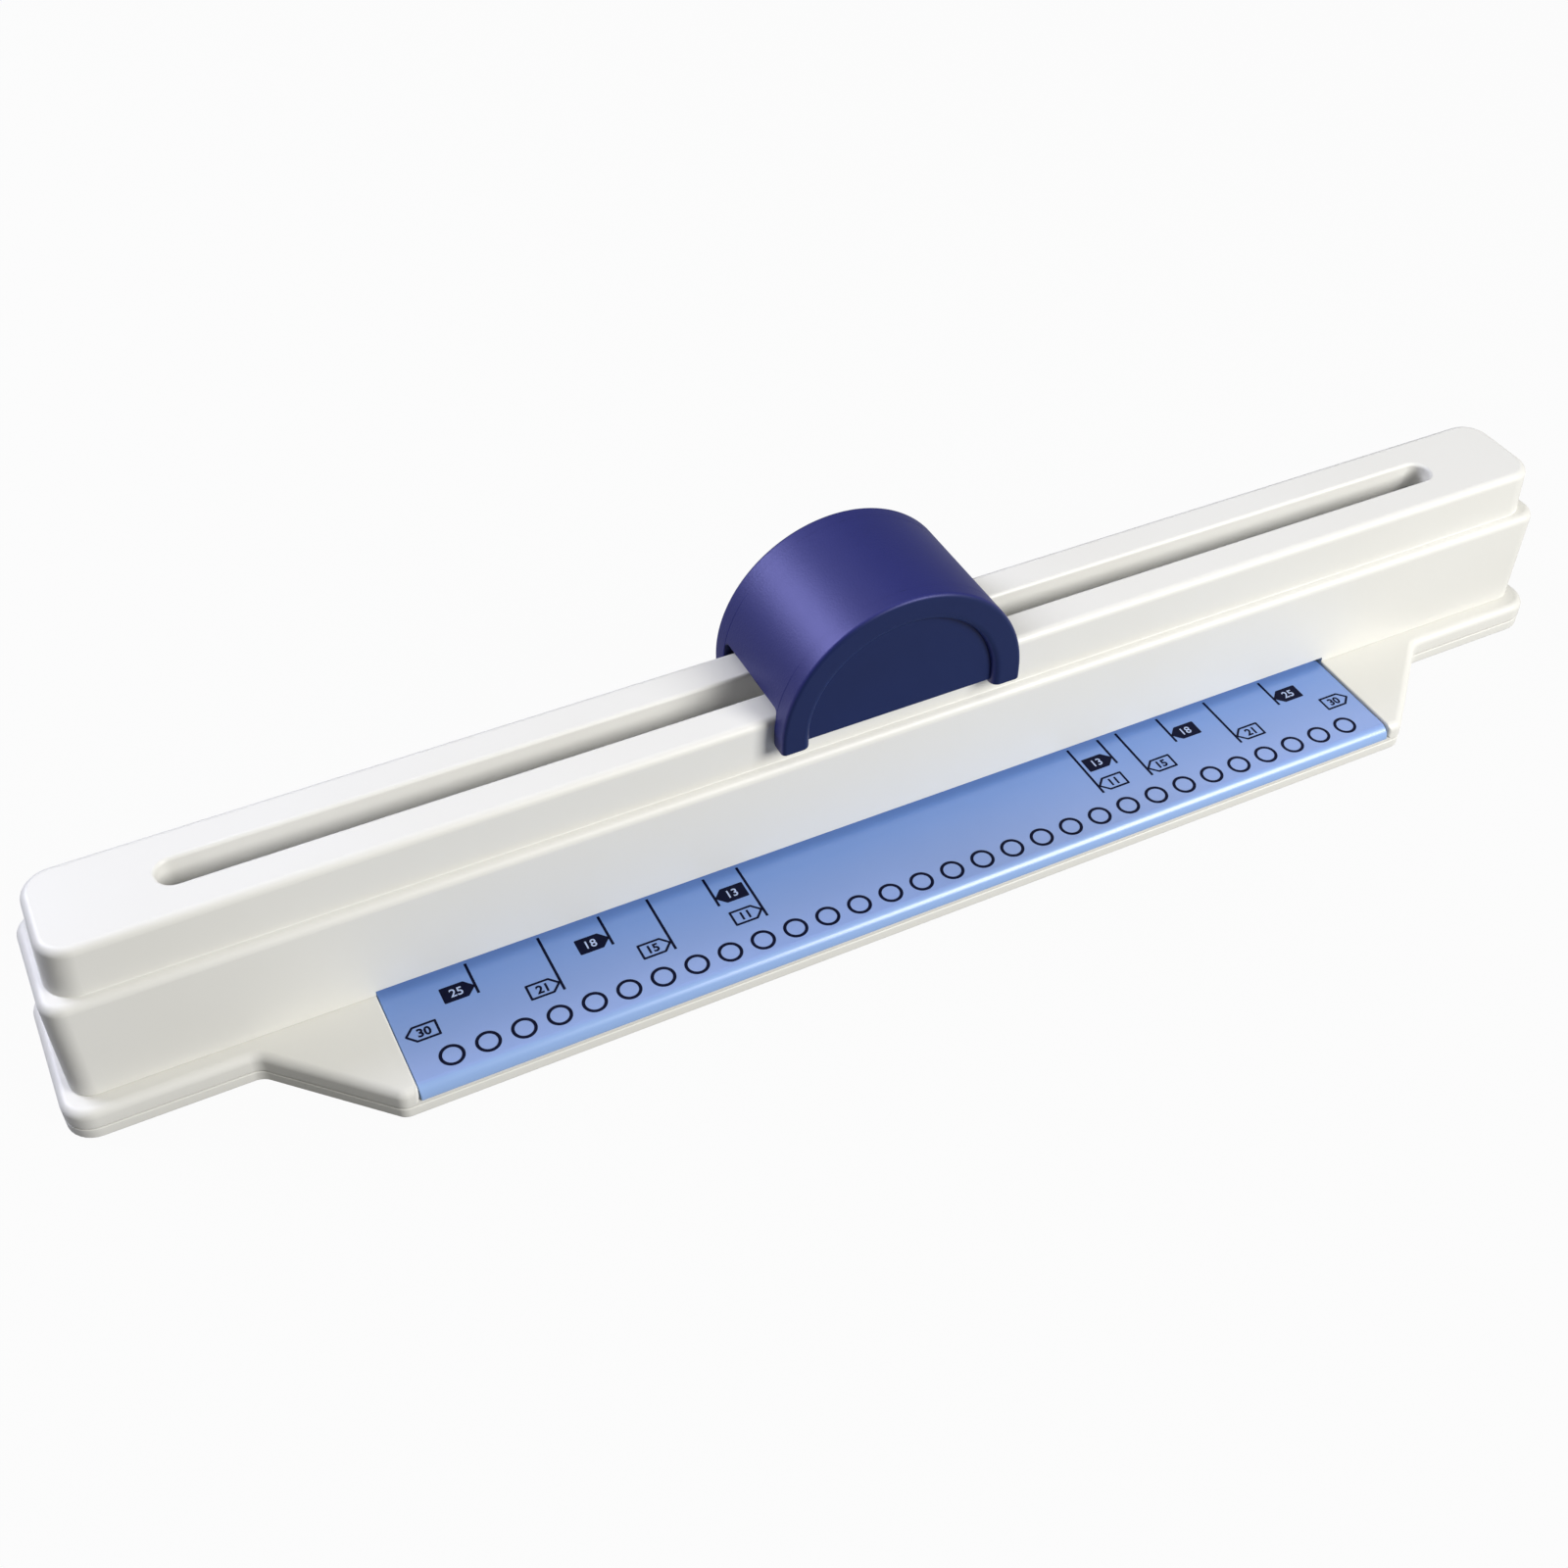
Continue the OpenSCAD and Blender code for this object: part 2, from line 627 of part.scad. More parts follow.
// Axle with a riveted head outside each roller
module guide_axle(sx) {
    head_y = guide_roller_y + guide_w / 2 + roller_gap;
    color("#9a9da3") {
        y_rod(sx * guide_roller_x, guide_roller_z, guide_axle_d, 2 * head_y + axle_head_t);
        for (sy = [-1, 1]) translate([0, sy * (head_y + axle_head_t / 2), 0])
            y_rod(sx * guide_roller_x, guide_roller_z, axle_head_d, axle_head_t);
    }
}

// Section of the handle's arch and legs: skin, rims and recessed end faces
module handle_section() {
    half = handle_w / 2;
    disc_in = disc_y - handle_t;
    rim_in = handle_r - rim_w;
    inner_edge = arc(rim_in + rim_round, half - rim_round, rim_round, 180, 90);
    outer_edge = arc(handle_r - handle_edge_r, half - handle_edge_r, handle_edge_r, 90, 0);
    for (side = [0, 1]) mirror([0, side]) {
        polygon(concat([[rim_in, disc_in]], inner_edge, outer_edge, [[handle_r, disc_in]]));
        translate([0, disc_in]) square([handle_r - cut, handle_t]);
    }
    translate([handle_in_r, -disc_y]) square([handle_t, 2 * disc_y]);
}

// Cylinder inside the handle's arch
module arch(r) {
    rotate([90, 0, 0]) cylinder(h = 2 * disc_y, r = r, center = true, $fn = round_fn);
}

module handle_shell() {
    socket_len = neck_len + 2 * (barb + socket_t);
    socket_half = neck_w / 2 + socket_t;
    pocket_half = neck_w / 2 + snug;
    hollow_half = neck_w / 2 - cut;
    notch_half = max(handle_w / 2 - leg_depth, ridge_depth / 2 + glide_gap);
    notch_z = ridge_h + notch_rise - arch_z;
    glide_z = ridge_h + glide_gap - arch_z;
    neck_z = neck_top + snug - arch_z;
    color("#34358c") translate([0, y_pins, arch_z]) difference() {
        union() {
            difference() {
                union() {
                    rotate([90, 0, 0]) rotate_extrude(angle = 180, $fn = round_fn) handle_section();
                    for (side = [0, 1]) mirror([side, 0, 0])
                        translate([0, 0, -leg_straight]) linear_extrude(leg_straight) handle_section();
                }
                // Notch that the ridge passes through, and the raised lower edge of the end faces
                bar(2 * (handle_r + cut), -notch_half, notch_half, -leg_straight - cut, notch_z);
                bar(2 * (handle_r - rim_w), -handle_w, handle_w, -leg_straight - cut, disc_rise - leg_straight);
            }
            // Socket for the neck, carried up to the inside of the arch
            intersection() {
                arch(handle_in_r + handle_t / 2);
                bar(socket_len, -socket_half, socket_half, glide_z, handle_r);
            }
        }
        // Pocket of the socket with undercuts for the neck's barbs, and the hollow above the neck
        intersection() {
            arch(handle_in_r);
            bar(neck_len - 2 * socket_t, -hollow_half, hollow_half, glide_z - cut, handle_r);
        }
        bar(neck_len + 2 * snug, -pocket_half, pocket_half, glide_z - cut, neck_z);
        bar(neck_len + 2 * (barb + snug), -pocket_half, pocket_half, neck_z - barb_h - 2 * snug, neck_z);
    }
}

bottom_tray();
rubber_feet();
base_deck();
gauge_panel();
upper_housing();
housing_screws();
die_plate();
throat_spacer();
channel_frame();
pin_guide();
return_springs();
frame_screws();
frame_nuts();
slide_carriage();
press_roller();
press_axle();
guide_axle(-1);  // guide_axle_left
guide_axle(1);  // guide_axle_right
for (sx = [-1, 1], sy = [-1, 1])
    guide_roller(sx, sy);
handle_shell();
for (i = [0 : hole_count - 1])
    punch_pin(i);
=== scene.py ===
"""Looks of a long slide punch: ivory shells, a printed blue gauge panel and a deep blue arched handle.

Lengths are written in millimetres and become metres when a mesh is made. Shells are lofts: plan rings of
equal point count, lifted to their heights and joined by quads.
"""

import json
import math

import bmesh
import bpy
import numpy as np
from mathutils import Matrix, Vector


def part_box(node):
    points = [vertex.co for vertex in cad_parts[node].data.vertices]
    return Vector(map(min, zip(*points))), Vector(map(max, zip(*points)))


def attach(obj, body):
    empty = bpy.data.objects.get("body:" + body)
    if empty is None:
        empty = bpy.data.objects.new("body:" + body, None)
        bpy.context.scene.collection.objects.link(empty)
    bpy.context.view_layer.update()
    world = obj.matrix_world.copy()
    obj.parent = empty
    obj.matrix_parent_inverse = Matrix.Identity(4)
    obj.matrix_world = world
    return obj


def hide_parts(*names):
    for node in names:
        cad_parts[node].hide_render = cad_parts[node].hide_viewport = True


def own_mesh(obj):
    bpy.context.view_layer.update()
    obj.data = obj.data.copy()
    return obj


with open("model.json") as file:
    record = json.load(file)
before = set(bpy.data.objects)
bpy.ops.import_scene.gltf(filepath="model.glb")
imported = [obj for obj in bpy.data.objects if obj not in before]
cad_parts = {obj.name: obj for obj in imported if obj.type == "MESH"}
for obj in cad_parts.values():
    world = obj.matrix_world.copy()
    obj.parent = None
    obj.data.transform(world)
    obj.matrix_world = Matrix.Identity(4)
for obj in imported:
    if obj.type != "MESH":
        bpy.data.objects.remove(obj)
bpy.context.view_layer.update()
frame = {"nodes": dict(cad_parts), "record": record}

MM = 0.001
# Points closer than the first of these are welded, and edges shorter than the second are dropped
weld_gap = 0.002
least_edge = 0.001


def span(node_name):
    """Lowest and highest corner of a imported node, in millimetres."""
    low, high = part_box(node_name)
    return np.array(low) / MM, np.array(high) / MM


# Sizes that the frame gives
deck_low, deck_high = span("base_deck")
tray_low, tray_high = span("bottom_tray")
wall_low, wall_high = span("upper_housing")
panel_low, panel_high = span("gauge_panel")
handle_low, handle_high = span("handle_shell")
die_low, die_high = span("die_plate")
throat_z = span("throat_spacer")[1][2]
spring_low, spring_high = span("return_springs")
pin_row = (die_low[1] + die_high[1]) / 2

# Base: a long flange with an apron in front that the gauge panel lies in
flange_front = -9.25
flange_corner_r = 7.5
apron_root_half = 181.0
apron_front_half = 153.0
apron_corner_r = 4.0
apron_root_r = 5.0
skirt_t = 3.0
# Heights of the hollow's roof and of the panel's bed
hollow_z = 6.0
seat_z = 7.5
deck_edge_r = 2.4
bay_gap = 0.25
bay_back_gap = 0.1
bay_half = panel_high[0] + bay_gap
bay_back = panel_high[1] + bay_back_gap
bay_corner_r = 1.2
bay_back_r = 0.3
bay_edge_r = 0.5
# Depth of the ledge under the panel's lip
ledge = 2.05
chip_slot_half = (147.25, 5.5)
bed_gap = 0.1
# Steps of each rounded corner of the base's outline
corner_steps = 8

# Tray under the base
tray_edge_z = 4.2
tray_floor_z = 2.4
tongue_gap = 0.3
tongue_in = skirt_t + tongue_gap
tongue_t = 1.6

# Housing: a wall with a shoulder, a narrower ridge on it and the handle's slot along the top
wall_half = (wall_high - wall_low)[:2] / 2
wall_corner_r = 6.0
shoulder_z = 42.0
shoulder_r = 2.5
cove_r = 0.3
ridge_in = 2.8
ridge_corner_r = 8.0
end_lean = 1.2
ridge_z = wall_high[2]
ridge_r = 2.2
skin = 2.5
slot_half = (190.25, 4.25)
slot_lip_r = 1.0
slot_wall_t = 1.1
slot_wall_z = 47.8
edge_break = 0.35

# Gauge panel: a sheet with a rolled front lip
paper_z = panel_high[2]
lip_r = 3.7
# Angle of the crease in degrees, and a smaller one that keeps it sharp in the shading
lip_crease = 14.0
panel_smooth = 10.0
panel_t = 2.0
# Where the painted shade by the wall begins and ends to pale, from back to front
painted_shade_back = -9.0
painted_shade_front = -30.0

# Handle: a half-round shell on short straight legs, with a raised rim round two recessed end discs
handle_r = (handle_high[0] - handle_low[0]) / 2
leg_straight = handle_high[2] - handle_low[2] - handle_r
handle_half = (handle_high[1] - handle_low[1]) / 2
handle_t = 2.3
rim_w = 8.2
rim_edge_r = 1.2
rim_round = 2.1
disc_out = handle_half - 2.2
disc_in = disc_out - handle_t
disc_rise = 1.0
notch_half = 15.5
notch_z = 7.6
notch_fillet = 1.6
notch_draft = 0.15
leg_round = 0.7
socket_half = (29.0, 5.95)
pocket_half = (26.0, 3.8)
socket_z = 4.9
pocket_top = 12.7
# How far the end discs and the socket reach into the arch
joint_lap = 0.3
# Share of the depth's direction in a surface's normal at which the polish and the painted shade of the end
# faces begin and are full
polish_and_shade_from = 0.5
polish_and_shade_full = 0.8

# Return springs round the pins
wire_d = 0.7
spring_turns = 6.5
closed_turns = 0.9
# Rise of the closed turns over the whole spring, as a share of the wire
coil_creep = 0.2
turn_steps = 20
wire_sides = 8
wire_smooth = 60.0
spring_gap = 0.05

# Printed gauge
ring_pitch = 9.5
ring_count = 30
ring_r = 2.9
ring_stroke = 0.9
ring_points = 64
ring_y = panel_low[1] + 7.15
line_w = 0.75
short_line_end = -13.8
long_line_end = -22.4
filled_tag_y = -11.0
outlined_tag_y = -19.6
tag_len = 9.0
tag_h = 5.3
tag_tip = 2.5
tag_stroke = 0.65
tag_corner_r = (0.3, 0.5, 0.4, 0.5, 0.3)
cheek_tag_x = 137.7
digit_h = 2.7
# Font size for a digit of height 1, and what is added to each side of a dark or pale stroke
font_ratio = 1.38
dark_bold = 0.13
pale_bold = 0.03
ink_t = 0.03
line_start = wall_low[1] + 1.0
# Paper widths, each row one line of the gauge: its place, the side of it that the tag lies on (-1 left,
# 1 right), the tag's kind, and the paper's width in whole centimetres
gauge_marks = [
    (-125.0, -1, "filled", "25"),
    (-105.0, -1, "outlined", "21"),
    (-88.0, -1, "filled", "18"),
    (-74.0, -1, "outlined", "15"),
    (-57.5, 1, "filled", "13"),
    (-47.5, -1, "outlined", "11"),
    (58.4, 1, "outlined", "11"),
    (68.6, -1, "filled", "13"),
    (74.9, 1, "outlined", "15"),
    (89.2, 1, "filled", "18"),
    (106.0, 1, "outlined", "21"),
    (126.0, 1, "filled", "25"),
]

# Camera: viewing angles in degrees, place in millimetres, focal length and centre in the picture's pixels
picture_side = 1600
focal_px = 1969.5
centre_px = (806.9, 803.9)
view_azimuth = -27.174
view_elevation = 44.180
view_roll = 0.793
camera_offset = (26.18, -12.04, 547.2)


# Outlines

def arc(centre, radius, start, end, steps=8):
    """Arc in a plane: the centre plus the radius times the cosine and sine of evenly spaced angles, which are
    given in degrees."""
    angles = np.radians(np.linspace(start, end, steps + 1))
    return np.array(centre) + radius * np.stack([np.cos(angles), np.sin(angles)], axis=1)


def rounded_ring(half, radius, middle=(0.0, 0.0), stations=(-1.0, 1.0), steps=12):
    """Rounded rectangle as a ring that runs round to the left from the front side: straight sides with points
    at the given shares of their length, joined by quarter arcs about the four corner centres."""
    straight = np.array(half) - radius
    along = np.array(stations) * straight[0]
    side = np.array([-1.0, 1.0]) * straight[1]
    quarter = np.radians(np.linspace(0, 90, steps + 1))[1:-1]
    bow = radius * np.stack([np.cos(quarter), np.sin(quarter)], axis=1)
    turn_left = np.array([[0.0, 1.0], [-1.0, 0.0]])
    corners = [bow @ np.linalg.matrix_power(turn_left, k) for k in (3, 0, 1, 2)]
    parts = [
        np.stack([along, np.full_like(along, -half[1])], axis=1),
        corners[0] + straight * (1, -1),
        np.stack([np.full_like(side, half[0]), side], axis=1),
        corners[1] + straight,
        np.stack([along[::-1], np.full_like(along, half[1])], axis=1),
        corners[2] + straight * (-1, 1),
        np.stack([np.full_like(side, -half[0]), side[::-1]], axis=1),
        corners[3] - straight,
    ]
    return np.concatenate(parts) + np.array(middle)


def fillet_polygon(corners, radii, insets, steps):
    """Polygon with its sides moved inwards and its corners rounded. Each new corner is where two moved sides
    cross; each arc starts one tangent length before it and turns by the angle between the sides."""
    least_r = 0.05
    ahead = np.roll(corners, -1, axis=0) - corners
    ahead = ahead / np.linalg.norm(ahead, axis=1, keepdims=True)
    inward = np.stack([-ahead[:, 1], ahead[:, 0]], axis=1)
    behind = np.roll(ahead, 1, axis=0)
    behind_in = np.roll(inward, 1, axis=0)
    behind_inset = np.roll(insets, 1)
    sides = np.stack([behind_in, inward], axis=1)
    reach = np.stack([
        np.sum(behind_in * corners, axis=1) + behind_inset,
        np.sum(inward * corners, axis=1) + insets,
    ], axis=1)
    crossing = np.linalg.solve(sides, reach[..., None])[..., 0]
    turn = np.arctan2(behind[:, 0] * ahead[:, 1] - behind[:, 1] * ahead[:, 0], np.sum(behind * ahead, axis=1))
    hand = np.sign(turn)
    radius = np.maximum(radii - hand * (insets + behind_inset) / 2, least_r)
    start = crossing - behind * (radius * np.tan(np.abs(turn) / 2))[:, None]
    spoke = -behind_in * (hand * radius)[:, None]
    angle = turn[:, None] * np.linspace(0, 1, steps + 1)
    swung = np.stack([
        spoke[:, None, 0] * np.cos(angle) - spoke[:, None, 1] * np.sin(angle),
        spoke[:, None, 0] * np.sin(angle) + spoke[:, None, 1] * np.cos(angle),
    ], axis=2)
    return ((start - spoke)[:, None] + swung).reshape(-1, 2)


# Lofts

def lift(rings, heights):
    """Plan rings lifted to their heights, each height one number or one for each point of the ring."""
    rings = np.stack(rings)
    heights = np.stack([np.broadcast_to(z, rings.shape[1]) for z in heights])
    return np.concatenate([rings, heights[..., None]], axis=2)


def loft(points, loop=False):
    """Quads between neighbouring rows of rings. A loop joins the last row to the first, as in a tube bent
    round to its own start; otherwise one face closes the first row and one the last."""
    rows, count = points.shape[:2]
    index = np.arange(rows * count).reshape(rows, count)
    lower = index if loop else index[:-1]
    upper = np.roll(index, -1, axis=0) if loop else index[1:]
    quads = np.stack([lower, np.roll(lower, -1, 1), np.roll(upper, -1, 1), upper], axis=2)
    faces = quads.reshape(-1, 4).tolist()
    if not loop:
        faces += [index[0, ::-1].tolist(), index[-1].tolist()]
    return points.reshape(-1, 3), faces


def sheet_faces(rows, columns, first=0):
    """Quads of an open grid of points, counted from a first index."""
    index = first + np.arange(rows * columns).reshape(rows, columns)
    quads = np.stack([index[:-1, :-1], index[:-1, 1:], index[1:, 1:], index[1:, :-1]], axis=2)
    return quads.reshape(-1, 4).tolist()


def together(shapes):
    """Several shapes as one list of points and faces."""
    starts = np.cumsum([0] + [len(points) for points, _ in shapes])
    points = np.concatenate([np.asarray(points, float) for points, _ in shapes])
    faces = [[int(start) + i for i in face] for start, (_, group) in zip(starts, shapes) for face in group]
    return points, faces


def add_piece(name, shape, materials, body, replaced=(), smooth_angle=32.0):
    """One piece of the object: its points welded where they meet, faces turned outwards, shaded smooth across
    edges flatter than an angle, with normals that follow the larger faces."""
    points, faces = shape
    mesh = bpy.data.meshes.new(name)
    mesh.from_pydata((points * MM).tolist(), [], faces)
    work = bmesh.new()
    work.from_mesh(mesh)
    bmesh.ops.remove_doubles(work, verts=work.verts, dist=weld_gap * MM)
    bmesh.ops.dissolve_degenerate(work, edges=work.edges, dist=least_edge * MM)
    bmesh.ops.recalc_face_normals(work, faces=work.faces)
    work.to_mesh(mesh)
    work.free()
    mesh.shade_smooth()
    mesh.set_sharp_from_angle(angle=math.radians(smooth_angle))
    for material in materials:
        mesh.materials.append(material)
    piece = bpy.data.objects.new(name, mesh)
    bpy.context.scene.collection.objects.link(piece)
    normals = piece.modifiers.new("even_normals", "WEIGHTED_NORMAL")
    normals.keep_sharp = True
    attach(piece, body)
    if replaced:
        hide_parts(*replaced)
    return piece


# Materials

plastic_ior = 1.53


def linear(hex_colour):
    """An sRGB hex colour as linear light, with full alpha."""
    parts = np.array([int(hex_colour[i:i + 2], 16) for i in (1, 3, 5)]) / 255
    light = np.where(parts <= 0.04045, parts / 12.92, ((parts + 0.055) / 1.055) ** 2.4)
    return (*light.tolist(), 1.0)


def add_node(tree, kind, settings=None, inputs=None):
    """Adds a node, sets its properties, and sets or links its inputs by name or number."""
    made = tree.nodes.new(kind)
    for name, value in (settings or {}).items():
        setattr(made, name, value)
    for name, value in (inputs or {}).items():
        if isinstance(value, bpy.types.NodeSocket):
            tree.links.new(value, made.inputs[name])
        else:
            made.inputs[name].default_value = value
    return made


def new_material(name):
    """An empty node material with its principled shader, and the tree that holds it."""
    material = bpy.data.materials.new(name)
    material.use_nodes = True
    tree = material.node_tree
    return material, tree, tree.nodes["Principled BSDF"]


def per_metre(size_mm):
    """Texture scale, in repeats for each metre, of a pattern whose features have a size in millimetres."""
    return 1000.0 / size_mm


def two_tone(tree, share, first, second):
    """Colour that goes from the first tone to the second as a share goes from 0 to 1. A tone is a hex value
    or the output of a node."""
    tones = [linear(tone) if isinstance(tone, str) else tone for tone in (first, second)]
    made = add_node(tree, "ShaderNodeMix", {"data_type": "RGBA"}, {0: share, 6: tones[0], 7: tones[1]})
    return made.outputs[2]


def ramp(tree, value, start, end):
    """Share that goes from 0 to 1 as a value goes from a start to an end, and stays there beyond them."""
    made = add_node(tree, "ShaderNodeMapRange", None, {"Value": value, "From Min": start, "From Max": end})
    return made.outputs[0]


def moulded_plastic(name, light_tone, dark_tone, roughness, grain_mm, grain_depth_mm):
    """Moulded plastic: a slow drift between two close tones, a spark-eroded grain in the bump and a little
    unevenness in the gloss."""
    drift_mm = 60.0
    gloss_swing = 0.05
    material, tree, shader = new_material(name)
    place = add_node(tree, "ShaderNodeTexCoord").outputs["Object"]
    drift = add_node(tree, "ShaderNodeTexNoise", None, {
        "Vector": place, "Scale": per_metre(drift_mm), "Detail": 3.0})
    grain = add_node(tree, "ShaderNodeTexNoise", None, {
        "Vector": place, "Scale": per_metre(grain_mm), "Detail": 4.0})
    gloss = add_node(tree, "ShaderNodeMapRange", None, {
        "Value": grain.outputs["Fac"], "From Min": 0.3, "From Max": 0.7,
        "To Min": roughness - gloss_swing, "To Max": roughness + gloss_swing})
    bump = add_node(tree, "ShaderNodeBump", None, {
        "Strength": 0.6, "Distance": grain_depth_mm * MM, "Height": grain.outputs["Fac"]})
    tree.links.new(two_tone(tree, drift.outputs["Fac"], dark_tone, light_tone), shader.inputs["Base Color"])
    tree.links.new(gloss.outputs[0], shader.inputs["Roughness"])
    tree.links.new(bump.outputs[0], shader.inputs["Normal"])
    shader.inputs["IOR"].default_value = plastic_ior
    return material


def grip_plastic(name, grained, polished_and_shaded):
    """Moulded plastic of a grip: each finish is a light tone, a dark tone and a roughness. An attribute of
    the mesh leads from the grained arch to the smooth end faces, whose darker tones are painted shade. The
    sheen is tinted, since the grain returns some of the dye's blue."""
    drift_mm = 25.0
    grain_mm = 0.6
    grain_depth_mm = 0.06
    material, tree, shader = new_material(name)
    place = add_node(tree, "ShaderNodeTexCoord").outputs["Object"]
    polish_and_shade = add_node(tree, "ShaderNodeAttribute", {"attribute_name": "polish_and_shade"}).outputs["Fac"]
    drift = add_node(tree, "ShaderNodeTexNoise", None, {
        "Vector": place, "Scale": per_metre(drift_mm), "Detail": 4.0})
    grain = add_node(tree, "ShaderNodeTexNoise", None, {
        "Vector": place, "Scale": per_metre(grain_mm), "Detail": 3.0})
    tones = [two_tone(tree, drift.outputs["Fac"], dark, light) for light, dark, _ in (grained, polished_and_shaded)]
    gloss = add_node(tree, "ShaderNodeMapRange", None, {
        "Value": polish_and_shade, "To Min": grained[2], "To Max": polished_and_shaded[2]})
    height = add_node(tree, "ShaderNodeMapRange", None, {"Value": polish_and_shade, "To Min": 0.7, "To Max": 0.15})
    bump = add_node(tree, "ShaderNodeBump", None, {
        "Strength": height.outputs[0], "Distance": grain_depth_mm * MM, "Height": grain.outputs["Fac"]})
    # the end faces' darker tones are painted shade
    tree.links.new(two_tone(tree, polish_and_shade, *tones), shader.inputs["Base Color"])
    tree.links.new(gloss.outputs[0], shader.inputs["Roughness"])
    tree.links.new(bump.outputs[0], shader.inputs["Normal"])
    sheen = add_node(tree, "ShaderNodeMapRange", None, {"Value": polish_and_shade, "To Min": 0.95, "To Max": 0.4})
    tree.links.new(sheen.outputs[0], shader.inputs["Specular IOR Level"])
    shader.inputs["IOR"].default_value = plastic_ior
    shader.inputs["Specular Tint"].default_value = linear("#b8b5ff")
    return material


def printed_sheet_with_painted_shade(name, back_tone, front_tone, lip_tone, roughness):
    """Glossy sheet printed from behind, with painted light: its colour pales from the throat towards the
    front, a little unevenly, as painted shade by the wall that gives way to a painted sheen, and the rolled
    lip takes a paler tone of its own. A faint wave lies in the gloss."""
    cloud_mm = 40.0
    wave_mm = 9.0
    wave_depth_mm = 0.02
    material, tree, shader = new_material(name)
    place = add_node(tree, "ShaderNodeTexCoord").outputs["Object"]
    along = add_node(tree, "ShaderNodeSeparateXYZ", None, {0: place})
    cloud = add_node(tree, "ShaderNodeTexNoise", None, {
        "Vector": place, "Scale": per_metre(cloud_mm), "Detail": 2.0})
    # painted shade: the colour is deepest by the wall and pales into a painted sheen towards the front
    painted_shade = ramp(tree, along.outputs["Y"], painted_shade_back * MM, painted_shade_front * MM)
    uneven = add_node(tree, "ShaderNodeMath", {"operation": "MULTIPLY_ADD"}, {
        0: cloud.outputs["Fac"], 1: 0.3, 2: painted_shade})
    share = ramp(tree, uneven.outputs[0], 0.15, 1.15)
    # print colour with the painted shade and the painted sheen laid into it
    printed = two_tone(tree, share, back_tone, front_tone)
    rolled = ramp(tree, along.outputs["Z"], (paper_z - 0.05) * MM, (paper_z - 0.4) * MM)
    wave = add_node(tree, "ShaderNodeTexNoise", None, {
        "Vector": place, "Scale": per_metre(wave_mm), "Detail": 1.0})
    bump = add_node(tree, "ShaderNodeBump", None, {
        "Strength": 0.4, "Distance": wave_depth_mm * MM, "Height": wave.outputs["Fac"]})
    tree.links.new(two_tone(tree, rolled, printed, lip_tone), shader.inputs["Base Color"])
    tree.links.new(bump.outputs[0], shader.inputs["Normal"])
    shader.inputs["Roughness"].default_value = roughness
    shader.inputs["IOR"].default_value = plastic_ior
    return material


def rolled_steel(name, tone, dark_tone, roughness, along):
    """Steel with fine lines along the way it was rolled, drawn or ground: a noise stretched in that direction
    varies the tone and the gloss. The lines are drawn coarser than real ones, so that they show."""
    line_mm = 0.5
    line_depth_mm = 0.01
    material, tree, shader = new_material(name)
    place = add_node(tree, "ShaderNodeTexCoord").outputs["Object"]
    stretch = add_node(tree, "ShaderNodeMapping", None, {"Vector": place, "Scale": along})
    lines = add_node(tree, "ShaderNodeTexNoise", None, {
        "Vector": stretch.outputs[0], "Scale": per_metre(line_mm), "Detail": 3.0})
    gloss = add_node(tree, "ShaderNodeMapRange", None, {
        "Value": lines.outputs["Fac"], "To Min": roughness - 0.08, "To Max": roughness + 0.1})
    bump = add_node(tree, "ShaderNodeBump", None, {
        "Strength": 0.3, "Distance": line_depth_mm * MM, "Height": lines.outputs["Fac"]})
    tree.links.new(two_tone(tree, lines.outputs["Fac"], dark_tone, tone), shader.inputs["Base Color"])
    tree.links.new(gloss.outputs[0], shader.inputs["Roughness"])
    tree.links.new(bump.outputs[0], shader.inputs["Normal"])
    shader.inputs["Metallic"].default_value = 1.0
    return material


def printing_ink(name, tone, dark_tone):
    """Screen-printed ink: a thin matt film whose density varies a little."""
    speck_mm = 1.5
    material, tree, shader = new_material(name)
    place = add_node(tree, "ShaderNodeTexCoord").outputs["Object"]
    density = add_node(tree, "ShaderNodeTexNoise", None, {
        "Vector": place, "Scale": per_metre(speck_mm), "Detail": 3.0})
    tree.links.new(two_tone(tree, density.outputs["Fac"], dark_tone, tone), shader.inputs["Base Color"])
    shader.inputs["Roughness"].default_value = 0.4
    shader.inputs["Specular IOR Level"].default_value = 0.06
    return material


# Moulded ABS in ivory white: satin, with a grain that only softens the highlights, drawn coarser than it is
ivory_abs = moulded_plastic("ivory_abs", "#e6e5df", "#e1dfd7", 0.45, 0.6, 0.012)
# Polystyrene sheet printed blue from behind: glossy, deeper in the throat as painted shade from the wall and
# paler at the front as a painted sheen
blue_styrene = printed_sheet_with_painted_shade("blue_styrene", "#7294d2", "#8ca4da", "#90aedd", 0.27)
# Moulded ABS dyed deep blue: an arch to hold with a grain drawn coarser than it is, and smoother ends, darker
# as painted shade
deep_blue_abs = grip_plastic("deep_blue_abs", ("#171f60", "#131a54", 0.46), ("#15244e", "#111e42", 0.42))
# Dark ink of the gauge marks and the pale ink of the numbers on filled tags
navy_ink = printing_ink("navy_ink", "#0b1030", "#080c22")
pale_ink = printing_ink("pale_ink", "#b9c9ea", "#aebfe4")
# Soft rubber of the feet: matt and nearly black
foot_rubber = moulded_plastic("foot_rubber", "#454547", "#3a3a3c", 0.75, 0.8, 0.03)
# Natural acetal of the carriage: milky white and slightly glossy
natural_acetal = moulded_plastic("natural_acetal", "#e6e5de", "#dddbd2", 0.35, 0.9, 0.01)
# Black nylon of the guide rollers
black_nylon = moulded_plastic("black_nylon", "#2c2c2f", "#232326", 0.45, 0.7, 0.015)
